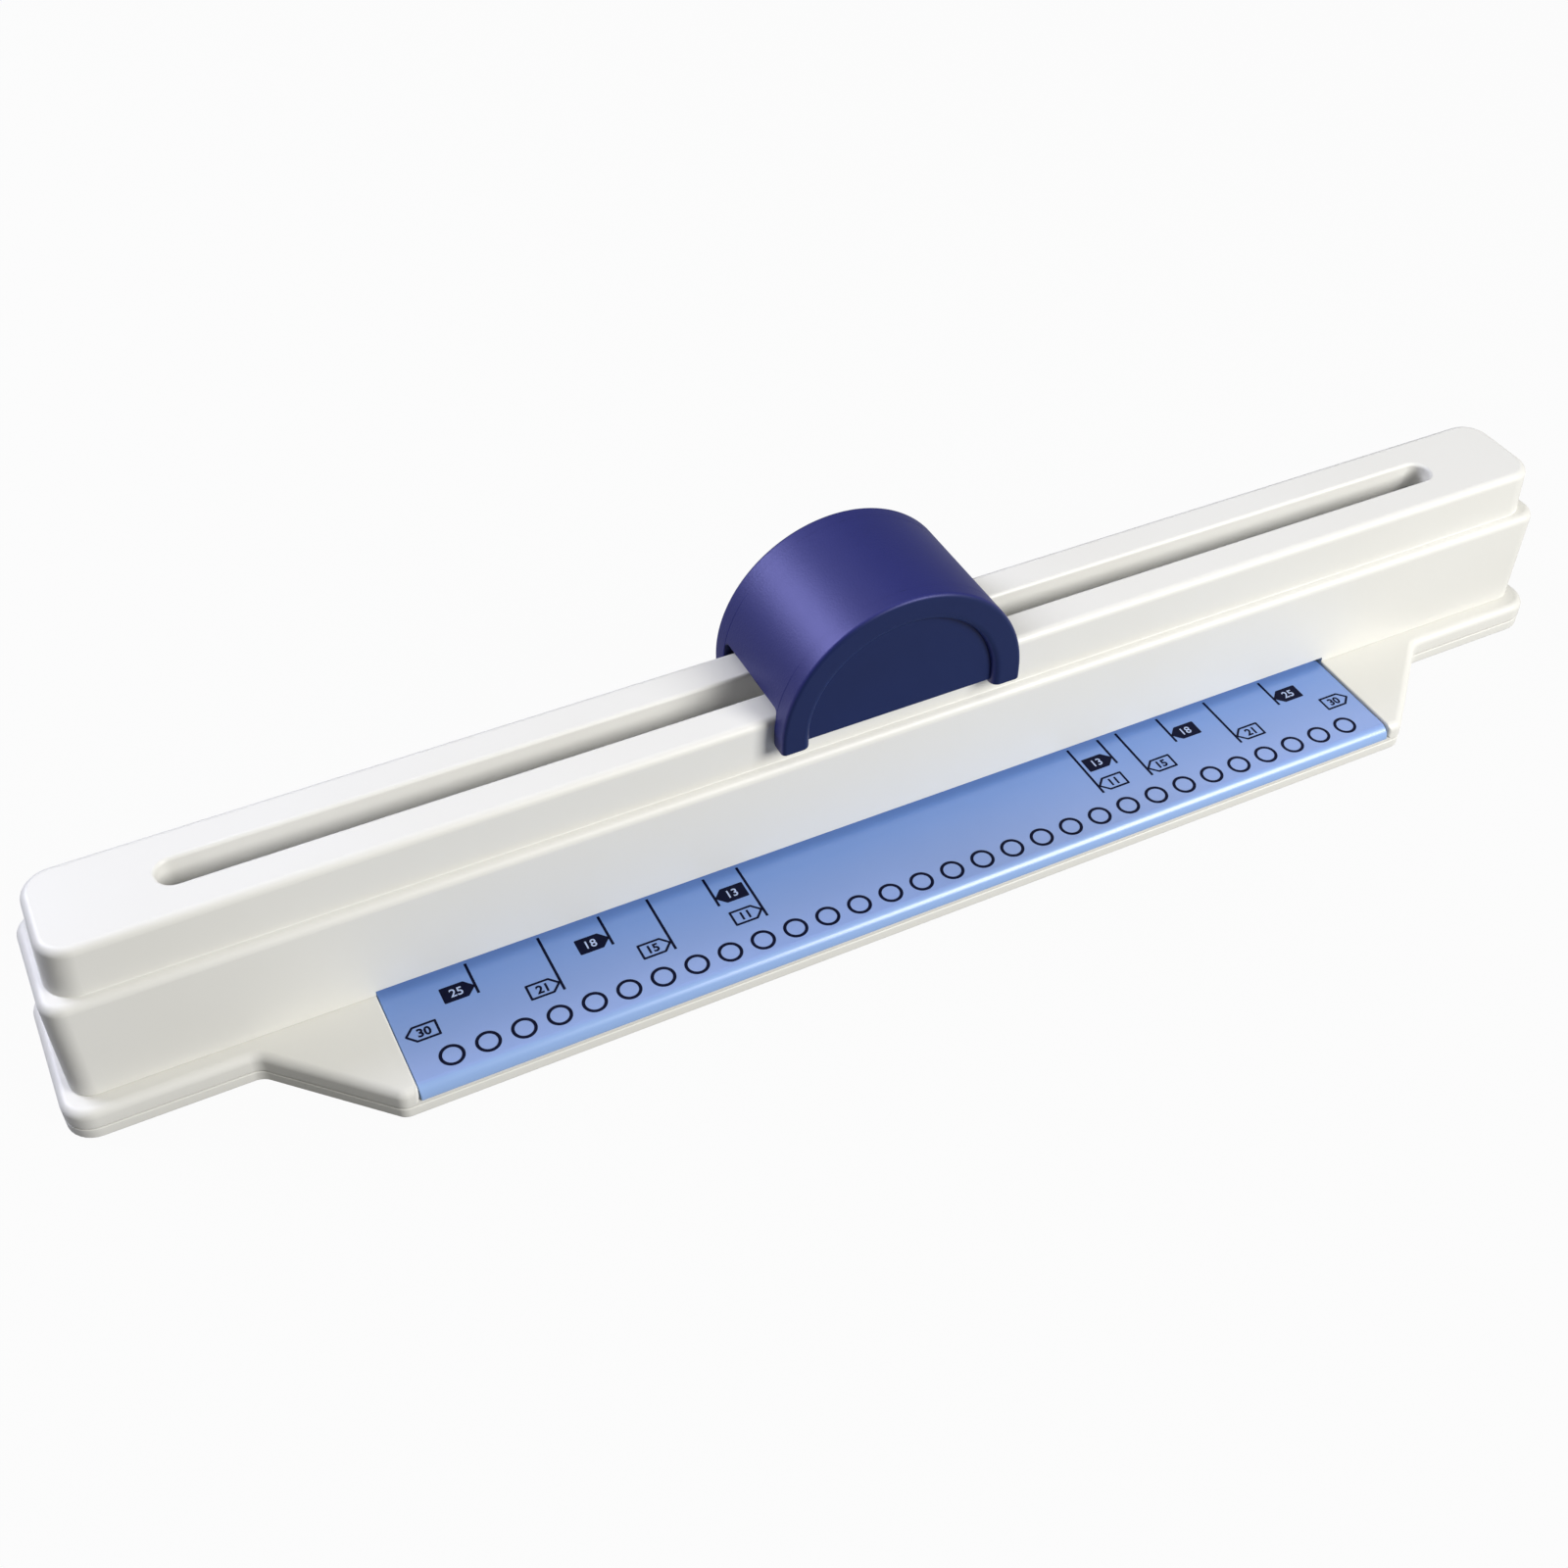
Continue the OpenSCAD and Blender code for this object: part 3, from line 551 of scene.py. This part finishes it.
# Rolled steel plate, ground pins, drawn spring wire and zinc-plated screws
rolled_plate = rolled_steel("rolled_plate", "#b9bcc0", "#a6a9ae", 0.34, (0.03, 1.0, 1.0))
ground_pins = rolled_steel("ground_pins", "#c6c9cc", "#b4b7bb", 0.22, (1.0, 1.0, 0.05))
spring_wire = rolled_steel("spring_wire", "#b6b8bb", "#9c9fa3", 0.3, (1.0, 1.0, 1.0))
zinc_plate = rolled_steel("zinc_plate", "#c3c7cb", "#a9aeb6", 0.32, (1.0, 1.0, 1.0))


# Base deck and tray

def base_plan(inset, bay_inset=0.0, bay=True, bay_y=0.0):
    """Outline of the base, moved inwards by an inset. Four corners make the bay that holds the gauge panel;
    without it their points lie on the front line, moved back by bay_y."""
    back = deck_high[1]
    front = deck_low[1]
    end = deck_high[0]
    half = [(apron_root_half, flange_front), (end, flange_front), (end, back)]
    left = [(-x, y) for x, y in half[::-1]]
    bay_corners = [(-bay_half, front), (-bay_half, bay_back), (bay_half, bay_back), (bay_half, front)]
    corners = [(-apron_front_half, front), *bay_corners, (apron_front_half, front), *half, *left]
    bay_radii = [bay_corner_r, bay_back_r, bay_back_r, bay_corner_r]
    half_radii = [apron_root_r, flange_corner_r, flange_corner_r]
    radii = [apron_corner_r, *bay_radii, apron_corner_r, *half_radii, *half_radii[::-1]]
    insets = np.full(len(corners), float(inset))
    bay_sides = slice(1, 4)
    insets[bay_sides] = bay_inset
    ring = fillet_polygon(np.array(corners), np.array(radii), insets, corner_steps)
    if not bay:
        points = slice(corner_steps + 1, 5 * (corner_steps + 1))
        ring[points, 1] = front + inset + bay_y * bay_share()[points]
    return ring


def bay_share():
    """How far each point of the base's ring belongs to the bay: 0 outside, 1 inside, and a slope on the two
    front corners where the bay begins and ends."""
    count = corner_steps + 1
    slope = np.linspace(0, 1, count)
    inside = np.ones(2 * count)
    outside = np.zeros(7 * count)
    return np.concatenate([outside[:count], slope, inside, slope[::-1], outside])


def clamp_to(ring, half):
    """The ring drawn in to a rectangle about the row of pins: each coordinate is held within its half
    width."""
    return np.stack([
        np.clip(ring[:, 0], -half[0], half[0]),
        np.clip(ring[:, 1], pin_row - half[1], pin_row + half[1]),
    ], axis=1)


def deck_shape():
    """Deck: from the inner foot of its skirt round the outer edge, up the wall, back over the panel's bed and
    its bay, over the rounded top edge to the die plate's bed and the chip slot, and down inside the skirt."""
    share = bay_share()
    bottom, top = deck_low[2], deck_high[2]
    lip_z = panel_low[2]
    rings = [base_plan(skirt_t, bay=False)]
    heights = [bottom]
    for inset, z in arc((edge_break, bottom + edge_break), edge_break, 270, 180, 3):
        rings.append(base_plan(inset, bay=False))
        heights.append(z)
    bed = lip_z + (seat_z - lip_z) * share
    ledge_ring = base_plan(0, bay=False, bay_y=ledge)
    rings += [base_plan(0, bay=False), ledge_ring, ledge_ring]
    heights += [lip_z, lip_z, bed]
    rings.append(base_plan(0))
    heights.append(bed)
    outer = arc((deck_edge_r, top - deck_edge_r), deck_edge_r, 180, 90, 8)
    inner = arc((bay_edge_r, top - bay_edge_r), bay_edge_r, 180, 90, 8)
    for (inset, z), (bay_inset, bay_z) in zip(outer, inner):
        rings.append(base_plan(inset, bay_inset))
        heights.append(z + (bay_z - z) * share)
    bed_half = (die_high - die_low)[:2] / 2 + bed_gap
    die_bed = clamp_to(rings[-1], bed_half)
    chip_slot = clamp_to(rings[-1], chip_slot_half)
    rings += [die_bed, die_bed, chip_slot, chip_slot, base_plan(skirt_t, bay=False)]
    heights += [top, die_low[2], die_low[2], hollow_z, hollow_z]
    return loft(lift(rings, heights), loop=True)


def tray_shape():
    """Tray: a shallow dish whose tongue fits inside the deck's skirt, with softened edges."""
    low, top = tray_low[2], tray_high[2]
    soft = 0.7
    fine = 0.25
    profile = np.concatenate([
        arc((soft, low + soft), soft, 270, 180, 5),
        arc((edge_break, tray_edge_z - edge_break), edge_break, 180, 90, 3),
        [[tongue_in, tray_edge_z]],
        arc((tongue_in + fine, top - fine), fine, 180, 90, 3),
        arc((tongue_in + tongue_t - fine, top - fine), fine, 90, 0, 3),
        [[tongue_in + tongue_t, tray_floor_z]],
    ])
    return loft(lift([base_plan(inset, bay=False) for inset, _ in profile], profile[:, 1]))


add_piece("base_deck_shell", deck_shape(), [ivory_abs], "body", ["base_deck"])
add_piece("bottom_tray_shell", tray_shape(), [ivory_abs], "chip_tray", ["bottom_tray"])


# Housing

def housing_shape():
    """Housing: one loop of rings from the inner foot of the wall up the outside, over the round shoulder and
    the ridge to the rounded lip of the slot, down the slot's wall and back along the inside."""
    middle = (0.0, pin_row)
    least_corner_r = 0.5
    foot_step = 0.02
    near = 0.01
    wall_straight = wall_half[0] - wall_corner_r
    step_x = np.array([bay_half - foot_step, bay_half + foot_step]) / wall_straight
    stations = (-1.0, *(-step_x[::-1]), *step_x, 1.0)

    def wall_ring(inset):
        """Ring of the wall, moved inwards."""
        corner_r = max(wall_corner_r - inset, least_corner_r)
        return rounded_ring(wall_half - inset, corner_r, middle, stations)

    def ridge_ring(inset, z):
        """Ring of the ridge, moved inwards, with ends that lean in as they rise."""
        lean = end_lean * (z - shoulder_z) / (ridge_z - shoulder_z)
        corner_r = ridge_corner_r + ridge_in - inset
        return rounded_ring(wall_half - inset - (lean, 0), corner_r, middle, stations)

    def slot_ring(offset):
        """Ring of the slot, moved outwards: straight sides between half-round ends."""
        half = np.array(slot_half) + offset
        return rounded_ring(half, half[1], middle, stations)

    first = wall_ring(0)
    on_throat = (first[:, 1] < wall_low[1] + near) & (np.abs(first[:, 0]) < bay_half)
    foot = np.where(on_throat, throat_z, wall_low[2])
    shoulder = arc((shoulder_r, shoulder_z - shoulder_r), shoulder_r, 180, 90)
    ridge = np.concatenate([
        arc((ridge_in - cove_r, shoulder_z + cove_r), cove_r, 270, 360),
        arc((ridge_in + ridge_r, ridge_z - ridge_r), ridge_r, 180, 90),
    ])
    lip = np.concatenate([
        arc((slot_lip_r, ridge_z - slot_lip_r), slot_lip_r, 90, 180),
        arc((edge_break, slot_wall_z + edge_break), edge_break, 180, 270, 3),
        [[slot_wall_t, slot_wall_z], [slot_wall_t, ridge_z - skin]],
    ])
    roof_z, step_z = ridge_z - skin, shoulder_z - skin
    foot_edge = arc((edge_break, edge_break), edge_break, 270, 180, 3)
    rings = [wall_ring(skin), *[wall_ring(inset) for inset, _ in foot_edge]]
    rings += [wall_ring(inset) for inset, _ in shoulder]
    rings += [ridge_ring(inset, z) for inset, z in ridge]
    rings += [slot_ring(offset) for offset, _ in lip]
    roof = ridge_ring(ridge_in + skin, ridge_z)
    rings += [roof, roof, wall_ring(skin)]
    heights = [foot, *[foot + z for _, z in foot_edge], *shoulder[:, 1], *ridge[:, 1], *lip[:, 1]]
    heights += [roof_z, step_z, step_z]
    return loft(lift(rings, heights), loop=True)


add_piece("upper_housing_shell", housing_shape(), [ivory_abs], "body", ["upper_housing"])


# Gauge panel and its print

def panel_shape():
    """Panel: its cross-section, a sheet whose front rolls down from a crease, at each station along the body.
    At the two ends the section is moved inwards along a quarter arc, so that their edges are soft. The foot's
    round shrinks by a little less, so that its points never meet."""
    front, back = panel_low[1], panel_high[1]
    foot = panel_low[2]
    soft = 0.3
    little_less = 0.99
    quarter = np.radians(np.linspace(0, 90, 5))
    left = panel_low[0] + soft * (1 - np.cos(quarter))
    inset = soft * (1 - np.sin(quarter))
    stations = np.concatenate([left, -left[::-1]])
    insets = np.concatenate([inset, inset[::-1]])

    def section(inset):
        """Cross-section moved inwards."""
        bend_z = paper_z - lip_r * math.cos(math.radians(lip_crease))
        inner_y, inner_z = front + panel_t - inset, paper_z - panel_t + inset
        return np.concatenate([
            arc((front + lip_r, bend_z), lip_r - inset, 90 + lip_crease, 180, 16),
            arc((front + soft, foot + soft), soft - inset * little_less, 180, 270, 4),
            [[inner_y, foot + inset], [inner_y, inner_z]],
            [[back - inset, inner_z], [back - inset, paper_z - inset]],
        ])

    rows = np.stack([section(inset) for inset in insets])
    along = np.broadcast_to(stations[:, None, None], (*rows.shape[:2], 1))
    return loft(np.concatenate([along, rows], axis=2))


add_piece(
    "gauge_panel_sheet", panel_shape(), [blue_styrene], "body", ["gauge_panel"],
    smooth_angle=panel_smooth)


def ring_marks():
    """Flat rings at the hole pitch: circles of two radii about each centre, joined by quads."""
    turn = np.linspace(0, 2 * np.pi, ring_points, endpoint=False)
    circle = np.stack([np.cos(turn), np.sin(turn)], axis=1)
    radii = ring_r + np.array([0.5, -0.5]) * ring_stroke
    centres = (np.arange(ring_count) - (ring_count - 1) / 2) * ring_pitch
    flat = radii[:, None, None] * circle
    shapes = []
    for x in centres:
        points = np.concatenate([flat + (x, ring_y), np.zeros((2, len(turn), 1))], axis=2)
        points, faces = loft(points)
        shapes.append((points, faces[:len(turn)]))
    return together(shapes)


def bar_mark(x, y0, y1, width):
    """Flat bar across the panel."""
    half = width / 2
    points = [(x - half, y0, 0), (x + half, y0, 0), (x + half, y1, 0), (x - half, y1, 0)]
    return np.array(points, float), [[0, 1, 2, 3]]


def tag_outline(inset):
    """Five-sided tag with its point at the right, about its own middle, moved inwards by an inset."""
    half, tall = tag_len / 2, tag_h / 2
    shoulder = half - tag_tip
    corners = np.array([(-half, -tall), (shoulder, -tall), (half, 0), (shoulder, tall), (-half, tall)])
    return fillet_polygon(corners, np.array(tag_corner_r), np.full(len(corners), inset), steps=4)


def tag_mark(x, y, pointing, filled):
    """A tag on the panel: one face if it is filled, or a band between two outlines."""
    outer = tag_outline(0.0) * (pointing, 1) + (x, y)
    if filled:
        return np.column_stack([outer, np.zeros(len(outer))]), [list(range(len(outer)))]
    inner = tag_outline(tag_stroke) * (pointing, 1) + (x, y)
    points = np.stack([outer, inner])
    points, faces = loft(np.concatenate([points, np.zeros((*points.shape[:2], 1))], axis=2))
    return points, faces[:len(outer)]


def number_mark(text, x, y, bold):
    """Digits of Blender's own font as a flat mesh, centred on a place, with strokes made bolder on each
    side."""
    curve = bpy.data.curves.new("digits", "FONT")
    curve.body = text
    curve.align_x = "CENTER"
    curve.align_y = "CENTER"
    curve.size = digit_h * font_ratio
    curve.resolution_u = 3
    curve.offset = bold
    holder = bpy.data.objects.new("digits", curve)
    mesh = bpy.data.meshes.new_from_object(holder)
    points = np.zeros(len(mesh.vertices) * 3)
    mesh.vertices.foreach_get("co", points)
    points = points.reshape(-1, 3)
    middle = (points.min(0) + points.max(0)) / 2
    faces = [list(face.vertices) for face in mesh.polygons]
    bpy.data.objects.remove(holder)
    bpy.data.curves.remove(curve)
    bpy.data.meshes.remove(mesh)
    return points - middle + (x, y, 0), faces


def gauge_print():
    """The dark marks and the pale numbers of the gauge, as two flat shapes at height 0."""
    dark = [ring_marks()]
    pale = []
    tags = [(side * cheek_tag_x + side * tag_len / 2, outlined_tag_y, side, False, "30") for side in (-1, 1)]
    for x, side, kind, number in gauge_marks:
        filled = kind == "filled"
        end = short_line_end if filled else long_line_end
        dark.append(bar_mark(x, end, line_start, line_w))
        tag_y = filled_tag_y if filled else outlined_tag_y
        tags.append((x + side * tag_len / 2, tag_y, -side, filled, number))
    for x, y, pointing, filled, number in tags:
        dark.append(tag_mark(x, y, pointing, filled))
        bold = pale_bold if filled else dark_bold
        digits = number_mark(number, x - pointing * tag_tip / 4, y, bold)
        (pale if filled else dark).append(digits)
    return together(dark), together(pale)


def ink_film(name, flat, material, base):
    """A printed film: a flat shape laid on the panel and given its thickness."""
    points, faces = flat
    film = add_piece(name, (points + (0, 0, base), faces), [material], "body")
    film.data.shade_flat()
    film.modifiers.clear()
    thick = film.modifiers.new("film", "SOLIDIFY")
    thick.thickness = 2 * ink_t * MM
    thick.offset = 0.0
    return film


dark_print, pale_print = gauge_print()
ink_film("gauge_marks", dark_print, navy_ink, paper_z)
ink_film("gauge_numbers", pale_print, pale_ink, paper_z + 2 * ink_t)


# Handle

def lower_edge():
    """Half of the arch's lower edge seen from its end, as places across and heights: the notch over the
    ridge, a fillet down its side, and the rounded foot of the leg."""
    foot = -leg_straight
    return np.concatenate([
        [[0.0, notch_z], [notch_half * 0.5, notch_z]],
        arc((notch_half - notch_draft - notch_fillet, notch_z - notch_fillet), notch_fillet, 90, 0, 6),
        arc((notch_half + notch_draft + leg_round, foot + leg_round), leg_round, 180, 270, 5),
        [[disc_in, foot]],
    ])


def handle_arch():
    """Arch and rims: pairs of outer and inner points of the shell's section, carried along a path of two
    straight legs and the half circle between them, from the lower edge on one side to the other. Near each
    end the pairs close in along a quarter arc, except where the wall is too thin for that."""
    edge = lower_edge()
    rim_in = handle_r - rim_w
    rim = np.concatenate([
        arc((handle_half - rim_edge_r, handle_r - rim_edge_r), rim_edge_r, 90, 0, 8),
        arc((handle_half - rim_round, rim_in + rim_round), rim_round, 0, -90, 10),
        [[disc_in, rim_in]],
    ])
    step = np.linspace(handle_r - handle_t, rim_in, len(rim))
    half_outer = np.concatenate([np.column_stack([edge[:, 0], np.full(len(edge), handle_r)]), rim])
    half_inner = np.concatenate([
        np.column_stack([edge[:, 0], np.full(len(edge), handle_r - handle_t)]),
        np.column_stack([np.full(len(rim), disc_in), step])])
    half_low = np.concatenate([edge[:, 1], np.full(len(rim), -leg_straight)])
    flip = np.array([-1.0, 1.0])
    outer = np.concatenate([half_outer[:0:-1] * flip, half_outer])
    inner = np.concatenate([half_inner[:0:-1] * flip, half_inner])
    low = np.concatenate([half_low[:0:-1], half_low])

    soft = 0.6
    least_wall = 2.2 * soft
    soft_rows = 5
    half_rows = 88
    quarter = np.radians(np.linspace(0, 90, soft_rows))
    rise = np.concatenate([soft * (1 - np.cos(quarter)), np.full(half_rows, soft)])
    close = np.concatenate([soft * (1 - np.sin(quarter)), np.zeros(half_rows)])
    share = np.concatenate([np.zeros(soft_rows), np.linspace(0, 0.5, half_rows + 2)[1:-1]])
    rise = np.concatenate([rise, rise[::-1]])
    close = np.concatenate([close, close[::-1]])
    share = np.concatenate([share, 1 - share[::-1]])

    gap = inner - outer
    thickness = np.maximum(np.linalg.norm(gap, axis=1, keepdims=True), 1e-6)
    toward = gap / thickness * (thickness > least_wall)

    def swept(section, hand):
        """Rows of the section along the path. Each point starts at its own lower edge. Its way counts from
        the top of the leg: below 0 it is the depth down the leg, above 0 the radius times the angle."""
        place = section + hand * close[:, None, None] * toward
        radius = place[..., 1]
        height = low + rise[:, None]
        start = np.minimum(height, 0) + radius * np.arcsin(np.clip(height / radius, 0, 1))
        way = start + share[:, None] * (np.pi * radius - 2 * start)
        angle = np.clip(way / radius, 0, np.pi)
        below = np.minimum(way, 0) + np.minimum(np.pi * radius - way, 0)
        return np.stack([-radius * np.cos(angle), place[..., 0], radius * np.sin(angle) + below], axis=2)

    outside, within = swept(outer, 1), swept(inner, -1)
    rows, count = outside.shape[:2]
    ends = np.array([0, rows - 1])[:, None] * count + np.arange(count)
    inner_ends = ends + rows * count
    strips = np.stack([ends[:, :-1], ends[:, 1:], inner_ends[:, 1:], inner_ends[:, :-1]], axis=2)
    points = np.concatenate([outside.reshape(-1, 3), within.reshape(-1, 3)])
    faces = sheet_faces(rows, count)
    faces += [face[::-1] for face in sheet_faces(rows, count, rows * count)]
    faces += strips.reshape(-1, 4).tolist()
    return points, faces


def end_disc(side):
    """Recessed end of the handle: a half disc, carried across its thickness with a soft outer edge."""
    soft = 0.5
    profile = np.concatenate([[[0.0, disc_in]], arc((soft, disc_out - soft), soft, 180, 90, 4)])
    radius = handle_r - rim_w + joint_lap

    def half_disc(inset):
        """Outline of the half disc: its arc and straight sides, closed by a straight lower edge."""
        r = radius - inset
        low = disc_rise + inset - leg_straight
        return np.concatenate([[[r, low]], arc((0, 0), r, 0, 180, 96), [[-r, low]]])

    rows = np.stack([half_disc(inset) for inset, _ in profile])
    across = np.broadcast_to(side * profile[:, 1][:, None], rows.shape[:2])
    return loft(np.stack([rows[..., 0], across, rows[..., 1]], axis=2))


def neck_socket():
    """Socket that takes the carriage's neck: a rectangular pocket inside a rectangular block whose top
    follows the inside of the arch."""
    outer_r = 0.8
    inner_r = 0.4
    stations = np.linspace(-1, 1, 15)
    outer = rounded_ring(socket_half, outer_r, stations=stations, steps=4)
    inner = rounded_ring(pocket_half, inner_r, stations=stations, steps=4)
    arch = np.sqrt((handle_r - handle_t + joint_lap) ** 2 - outer[:, 0] ** 2)
    return loft(lift([inner, inner, outer, outer], [pocket_top, socket_z, socket_z, arch]))


def handle_shape():
    """The whole handle, moved from its own axis to its place on the slide."""
    points, faces = together([handle_arch(), end_disc(-1), end_disc(1), neck_socket()])
    return points + (0, pin_row, handle_low[2] + leg_straight), faces


def mark_polish_and_shade(piece):
    """Attribute of the handle's points for the smooth finish and the painted shade: 0 on the arch, 1 where
    the surface faces along the body's depth.
    """
    mesh = piece.data
    normals = np.zeros(len(mesh.vertices) * 3)
    mesh.vertices.foreach_get("normal", normals)
    facing = np.abs(normals.reshape(-1, 3)[:, 1])
    polish_and_shade = mesh.attributes.new("polish_and_shade", "FLOAT", "POINT")
    share = (facing - polish_and_shade_from) / (polish_and_shade_full - polish_and_shade_from)
    polish_and_shade.data.foreach_set("value", np.clip(share, 0, 1))


handle = add_piece("handle_grip", handle_shape(), [deep_blue_abs], "slider", ["handle_shell"])
mark_polish_and_shade(handle)


# Return springs

def spring_coil(x):
    """One wound spring about a pin: a circle carried along a helix. The height rises with the angle turned,
    but only creeps up over the closed turns at both ends."""
    steps = int(spring_turns * turn_steps)
    turned = np.linspace(0, spring_turns, steps + 1)
    free = spring_turns - 2 * closed_turns
    low = spring_low[2] + spring_gap + wire_d / 2
    high = spring_high[2] - spring_gap - wire_d / 2
    rise = np.clip((turned - closed_turns) / free, 0, 1)
    creep = coil_creep * wire_d
    height = low + creep * turned / spring_turns + (high - low - creep) * rise
    coil_r = (spring_high[1] - spring_low[1]) / 2 - wire_d / 2
    angle = 2 * np.pi * turned[:, None]
    wire = np.linspace(0, 2 * np.pi, wire_sides, endpoint=False)
    radius = coil_r + wire_d / 2 * np.cos(wire)
    points = np.stack([
        x + radius * np.cos(angle),
        pin_row + radius * np.sin(angle),
        height[:, None] + wire_d / 2 * np.sin(wire) + 0 * angle,
    ], axis=2)
    return loft(points)


for number in range(1, ring_count + 1):
    pin_x = (number - (ring_count + 1) / 2) * ring_pitch
    spring = add_piece(
        "return_spring_%02d" % number, spring_coil(pin_x), [spring_wire], "body",
        ["return_springs"], smooth_angle=wire_smooth)
    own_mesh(spring)


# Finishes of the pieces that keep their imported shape

finish_of_slot = {
    "foot_rubber": foot_rubber,
    "plate_steel": rolled_plate,
    "pin_steel": ground_pins,
    "zinc_steel": zinc_plate,
    "slider_acetal": natural_acetal,
    "roller_black": black_nylon,
}
for part in frame["record"]["subparts"]:
    finish = finish_of_slot.get(part["material_slot"])
    if finish:
        packed = frame["nodes"][part["node"]].data
        packed.materials.clear()
        packed.materials.append(finish)


# Studio

# Share of the white surroundings that shows in glossy surfaces
mirror_share = 0.25


def white_backdrop(tree, lit, level):
    """Mix of a lit shader and plain white: rays from the camera and through glass see white at a share of the
    level, rays from mirrors at a smaller share, and light bounces off the lit shader."""
    path = add_node(tree, "ShaderNodeLightPath")
    seen = add_node(tree, "ShaderNodeMath", {"operation": "MAXIMUM"}, {
        0: path.outputs["Is Camera Ray"], 1: path.outputs["Is Transmission Ray"]})
    seen = add_node(tree, "ShaderNodeMath", {"operation": "MULTIPLY_ADD"}, {
        0: path.outputs["Is Glossy Ray"], 1: mirror_share, 2: seen.outputs[0]})
    share = add_node(tree, "ShaderNodeMath", {"operation": "MULTIPLY"}, {0: seen.outputs[0], 1: level})
    white = add_node(tree, "ShaderNodeEmission", None, {"Color": linear("#ffffff"), "Strength": 1.0})
    return add_node(tree, "ShaderNodeMixShader", None, {0: share.outputs[0], 1: lit, 2: white.outputs[0]})


def add_floor():
    """Pale floor under the feet that keeps a soft shadow, with its half side in metres."""
    size = 4.0
    mesh = bpy.data.meshes.new("floor")
    corners = [(-size, -size, 0), (size, -size, 0), (size, size, 0), (-size, size, 0)]
    mesh.from_pydata(corners, [], [(0, 1, 2, 3)])
    floor = bpy.data.objects.new("floor", mesh)
    bpy.context.scene.collection.objects.link(floor)
    material, tree, shader = new_material("studio_paper")
    shader.inputs["Base Color"].default_value = linear("#848482")
    shader.inputs["Roughness"].default_value = 0.9
    backdrop = white_backdrop(tree, shader.outputs[0], 0.96)
    tree.links.new(backdrop.outputs[0], tree.nodes["Material Output"].inputs["Surface"])
    mesh.materials.append(material)


def add_world():
    """Even white surroundings that light the object from all sides and show as white behind it."""
    world = bpy.data.worlds.new("studio")
    bpy.context.scene.world = world
    world.use_nodes = True
    tree = world.node_tree
    sky = tree.nodes["Background"]
    sky.inputs["Color"].default_value = linear("#ffffff")
    sky.inputs["Strength"].default_value = 0.05
    backdrop = white_backdrop(tree, sky.outputs[0], 1.0)
    tree.links.new(backdrop.outputs[0], tree.nodes["World Output"].inputs["Surface"])


def direction(azimuth, elevation):
    """Unit vector away from the object, at angles in degrees: the azimuth turns from the front to the right,
    the elevation rises from the table."""
    a, e = math.radians(azimuth), math.radians(elevation)
    return Vector((math.sin(a) * math.cos(e), -math.cos(a) * math.cos(e), math.sin(e)))


def add_lamp(name, azimuth, elevation, distance, size, watts, tone="#ffffff"):
    """Square soft box that looks at the object from a direction, its distance and side in metres."""
    outward = direction(azimuth, elevation)
    lamp = bpy.data.lights.new(name, "AREA")
    lamp.size = size
    lamp.energy = watts
    lamp.color = linear(tone)[:3]
    holder = bpy.data.objects.new(name, lamp)
    holder.location = outward * distance
    holder.rotation_euler = (-outward).to_track_quat("-Z", "Y").to_euler()
    bpy.context.scene.collection.objects.link(holder)


def add_camera():
    """Camera at the picture's own viewing angle: its back points from the object to the lens, its right and
    up are turned by the roll, and the shift puts its axis at the picture's centre pixel."""
    roll = math.radians(view_roll)
    back = direction(view_azimuth, view_elevation)
    level = Vector((0, 0, 1)).cross(back).normalized()
    upright = back.cross(level)
    right = math.cos(roll) * level + math.sin(roll) * upright
    up = -math.sin(roll) * level + math.cos(roll) * upright
    place = (-camera_offset[0] * right - camera_offset[1] * up + camera_offset[2] * back) * MM
    lens = bpy.data.cameras.new("camera")
    lens.sensor_width = 36.0
    lens.lens = focal_px / picture_side * lens.sensor_width
    lens.shift_x = (picture_side / 2 - centre_px[0]) / picture_side
    lens.shift_y = (centre_px[1] - picture_side / 2) / picture_side
    camera = bpy.data.objects.new("camera", lens)
    camera.matrix_world = Matrix.Translation(place) @ Matrix((right, up, back)).transposed().to_4x4()
    bpy.context.scene.collection.objects.link(camera)
    bpy.context.scene.camera = camera


add_floor()
add_world()
# A key from the front right, a broad fill from above and a cool light from behind on the left
add_lamp("key", 34, 32, 1.55, 0.7, 27.2)
add_lamp("top", 200, 72, 1.0, 0.9, 2.0)
add_lamp("back", 228, 40, 1.2, 0.5, 10.6, "#e8ebff")
add_camera()
bpy.context.scene.view_settings.view_transform = "Standard"
